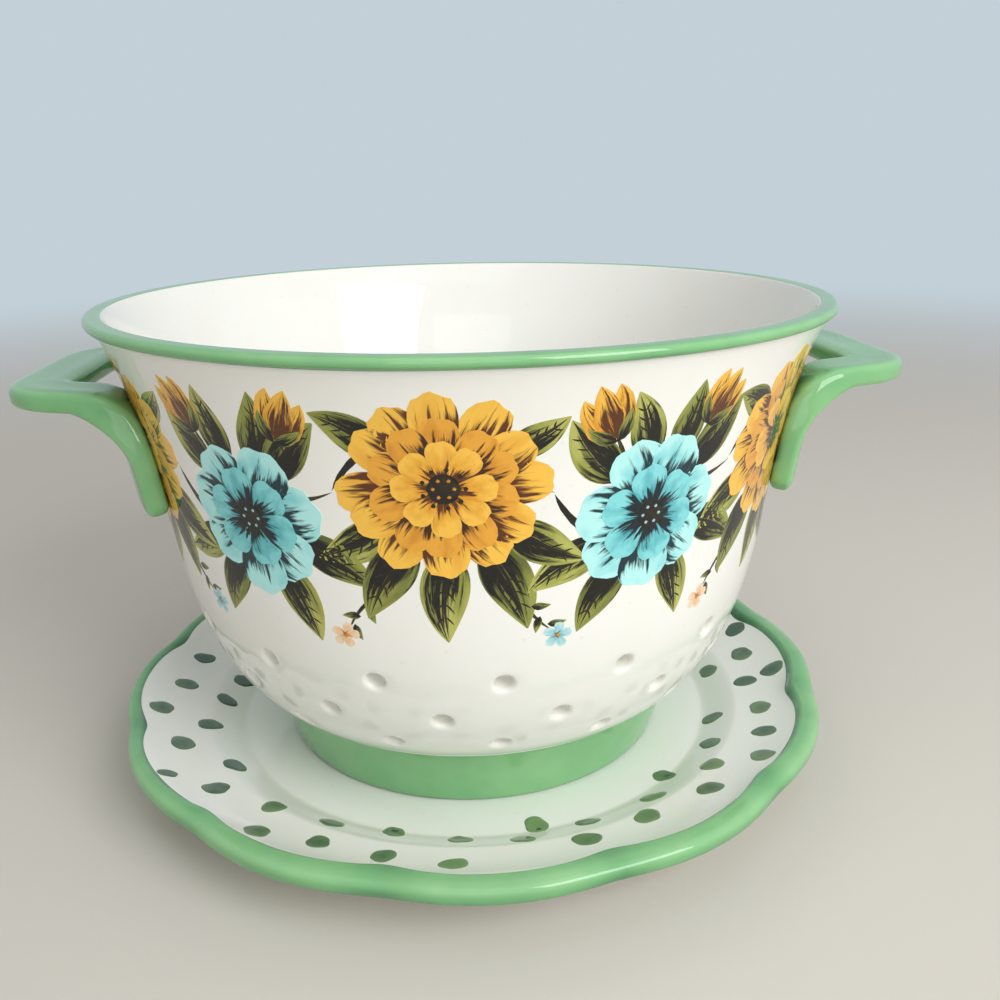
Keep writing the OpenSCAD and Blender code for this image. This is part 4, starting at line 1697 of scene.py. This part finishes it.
    def leaves(self, places: tuple[tuple[float, float, float, float], ...]) -> None:
        """Paints leaves in two greens on three levels, with dark veins.

        Args:
            places: foot to the right and up, heading in degrees, and length of each.
        """
        rng, leaf = self.rng, Form.LEAF
        for k, (*foot, angle, length) in enumerate(places):
            ink, level = (Ink.OLIVE, Ink.MOSS)[k % 2], Layer.LEAF + self.leaf_rise * (k % 3)
            bend = rng.choice([-26, 26])
            angle, length = angle + rng.uniform(-6, 6), length * rng.uniform(0.93, 1.07)
            line = self.stroke(foot, angle, length, length * 0.46, leaf, ink, level, bend, steps=(14, 8))
            level = level + self.vein_rise
            self.stroke(foot, angle, length * 0.96, 0.62, leaf, Ink.SEED, level, bend, steps=(14, 2))
            for place in (4, 6, 8, 10):
                x, y, heading = (values[place] for values in line)
                reach = length * (0.23 - 0.010 * place)
                for side in (1, -1):
                    way = math.degrees(heading) + 40 * side
                    self.stroke((x, y), way, reach, 0.36, leaf, Ink.SEED, level, -24 * side, steps=(4, 2))

    def vine(self, side: int) -> None:
        """Paints two twigs that lead through the middle, arched upwards at side 1, downwards at -1."""
        for x, angle in ((-19, 38), (-1, -2)):
            foot, bend = (x, 0.5 * side), -50 * side
            self.stroke(foot, angle * side, 20, 1.3, Form.LEAF, Ink.TWIG, Layer.TWIG, bend, steps=(12, 2))


@dataclass
class Garland:
    """A generic repeating garland of daisies, windflowers, buds and leaves round the wall."""

    wall: WallShape
    repeats: int = 6
    start: float = math.radians(24)
    middle_z: float = 83.0

    def build(self, material: Any) -> None:
        """Makes each half repeat as a piece: a daisy high on the vine, then a windflower low on it.

        Args:
            material: the enamel.
        """
        step = FULL_TURN / self.repeats / 2
        for k in range(2 * self.repeats):
            piece = Piece(f"garland_{k + 1:02d}")
            rng = np.random.default_rng(100 + k)
            brush = Brush(self.wall, piece, self.start + k * step, self.wall.v_at(self.middle_z), rng)
            if k % 2 == 0:
                brush.vine(1)
                brush.leaves(DAISY_LEAVES)
                brush.bloom((0, 1.5), DAISY)
                brush.sprig((-12, -19), 232, Ink.PEACH)
                brush.sprig((12, -19), 306, Ink.PALE_BLUE)
            else:
                brush.vine(-1)
                brush.leaves(WINDFLOWER_LEAVES)
                brush.bloom((0, -7.0), WINDFLOWER)
                brush.bud((-9.5, 9.0), 116, 12.0, Ink.OCHRE)
                brush.bud((10.0, 9.5), 62, 11.5, Ink.OCHRE)
            piece.build(material, Body.BOWL, Slot.IVORY, sharp=math.radians(38))


# The studio


@dataclass(frozen=True)
class Lamp:
    """One soft box: place in metres, edge lengths in metres, and power in watts."""

    name: str
    place: tuple[float, float, float]
    size: tuple[float, float]
    power: float
    aim: tuple[float, float, float] = (0.0, 0.0, 0.06)

    def build(self) -> None:
        """Hangs it, turned towards its aim."""
        light = bpy.data.lights.new(self.name, "AREA")
        light.shape, light.size, light.size_y, light.energy = "RECTANGLE", *self.size, self.power
        back = unit(np.array(self.place) - np.array(self.aim))
        right = unit(np.cross([0, 0, 1], back))
        axes = np.column_stack([right, np.cross(back, right), back])
        lamp = add_object(self.name, light)
        lamp.matrix_world = Matrix.Translation(self.place) @ Matrix(axes.tolist()).to_4x4()


@dataclass
class Studio:
    """Camera of the photograph, soft boxes, and a pale paper dish as floor and backdrop."""

    eye_mm: tuple[float, float, float] = (-10.17, -220.83, 132.91)
    pitch: float = 0.326
    yaw: float = 0.079
    roll: float = -0.017
    focal_px: float = 967.34
    image_px: float = 1000.0
    sensor_mm: float = 36.0
    air_strength: float = 0.47
    paper_gap: float = 0.02
    paper_sides: int = 96
    lamps: tuple[Lamp, ...] = (
        Lamp("window right", (0.45, -0.60, 0.48), (0.50, 0.50), 4.6),
        Lamp("window front", (-0.08, -0.80, 0.30), (0.50, 0.40), 0.65),
        Lamp("sky above", (0.05, -0.30, 0.90), (0.80, 0.80), 1.2),
    )

    def add_camera(self) -> None:
        """Places the camera: first turned by yaw and pitch, then rolled about its own axis."""
        cp, sp, cy, sy = math.cos(self.pitch), math.sin(self.pitch), math.cos(self.yaw), math.sin(self.yaw)
        forward, right = np.array([sy * cp, cy * cp, -sp]), np.array([cy, -sy, 0.0])
        up = np.cross(right, forward)
        c, s = math.cos(self.roll), math.sin(self.roll)
        axes = np.column_stack([c * right + s * up, -s * right + c * up, -forward])
        data = bpy.data.cameras.new("photo camera")
        data.sensor_fit, data.sensor_width, data.clip_start = "HORIZONTAL", self.sensor_mm, 0.01
        data.lens = self.focal_px / self.image_px * self.sensor_mm
        eye = Matrix.Translation([c * MM for c in self.eye_mm])
        camera = add_object("photo camera", data)
        camera.matrix_world = eye @ Matrix(axes.tolist()).to_4x4()
        bpy.context.scene.camera = camera

    def add_paper(self) -> None:
        """Lays the paper: flat round the pots, then rising all round in one smooth curve."""
        rise = cubic([(2200, 0), (3000, 0), (3300, 300), (3400, 1500)], np.linspace(0, 1, 24))
        outline = np.vstack([[[200, 0], [900, 0], [1600, 0]], rise]) - [0, self.paper_gap]
        n = self.paper_sides
        grid = turned(outline[:, :1], outline[:, 1:], round_turn(n)[None])
        points = np.vstack([grid.reshape(-1, 3), [[0, 0, -self.paper_gap]]])
        i = np.arange(n)
        centre = np.stack([np.full(n, len(points) - 1), i, (i + 1) % n], -1)
        mesh = bpy.data.meshes.new("paper")
        faces = grid_faces(len(outline), n)[:, ::-1].tolist() + centre.tolist()
        mesh.from_pydata((points * MM).tolist(), [], faces)
        mesh.shade_smooth()
        mesh.materials.append(StudioPaper().material())
        add_object("paper", mesh)

    def add_light(self) -> None:
        """Hangs the soft boxes and sets a dim, even sky that the camera and gloss see as pale paper."""
        for lamp in self.lamps:
            lamp.build()
        world = bpy.data.worlds.new("studio air")
        world.use_nodes = True
        bpy.context.scene.world = world
        tree = world.node_tree
        tree.nodes.clear()
        airs = (("#FFFFFF", self.air_strength), (StudioPaper().backdrop, 1.0))
        looks = [{"Color": linear(colour), "Strength": strength} for colour, strength in airs]
        plain, pale = (add_node(tree, "Background", look).outputs[0] for look in looks)
        mix = add_node(tree, "MixShader", links={0: seen_share(tree), 1: plain, 2: pale}).outputs[0]
        add_node(tree, "OutputWorld", links={"Surface": mix})


def main() -> None:
    logging.basicConfig(level=logging.INFO, format="%(message)s")
    bpy.context.scene.view_settings.view_transform = "Standard"
    studio = Studio()
    studio.add_camera()
    studio.add_paper()
    studio.add_light()

    # tin-white glossy glaze: creamy where it pools, with the faintest specks of the clay
    ivory = Glaze("ivory stoneware glaze", "#F4F3EC", "#F6F6F1", "#EEEDE2", 22.0, ClearTop(13.0, 0.10), 0.10)
    # copper-green glossy glaze: yellower and lighter on edges, blue-green and dark in corners
    jade = Glaze("jade stoneware glaze", "#9FD298", "#78B67B", "#3C7854", 16.0, ClearTop(12.0, 0.09))
    # dark green overglaze, brushed on in dabs: it stands a little proud and is yellower where thin
    sage = Glaze("dark sage overglaze dots", "#7E9A68", "#47644D", "#284638", 5.0, ClearTop(8.0, 0.05))
    finishes = (ivory, jade, sage, BareStoneware(), EnamelPrint())
    ivory, jade, sage, bare, enamel = (finish.material() for finish in finishes)

    wall = WallShape()
    bead = RimBead(wall)
    PiercedBody(wall, bead.inner_edge).build(ivory)
    bead.build(jade)
    foot = FootRing(base_r=45.5, base_w=4.2, base_z=5.8, top_r=49.4, top_w=5.4, top_z=20.05, base_round=0.9)
    foot.build(jade, "bowl_foot_glazed", Body.BOWL, Slot.JADE, "bowl_foot_ring")
    handle = Handle(wall)
    handle.build(jade, "right_handle", 1.0)
    handle.build(jade, "left_handle", -1.0)
    Garland(wall).build(enamel)
    plate = Plate()
    plate.build_dish(ivory)
    plate.build_lip(jade)
    plate.build_dots(sage)
    foot = FootRing(base_r=56.5, base_w=5.0, base_z=0.0, top_r=56.5, top_w=5.0, top_z=1.7, base_round=1.0)
    foot.build(bare, "plate_foot_bare", Body.PLATE, Slot.BARE, "plate_foot_ring")


if __name__ == "__main__":
    main()
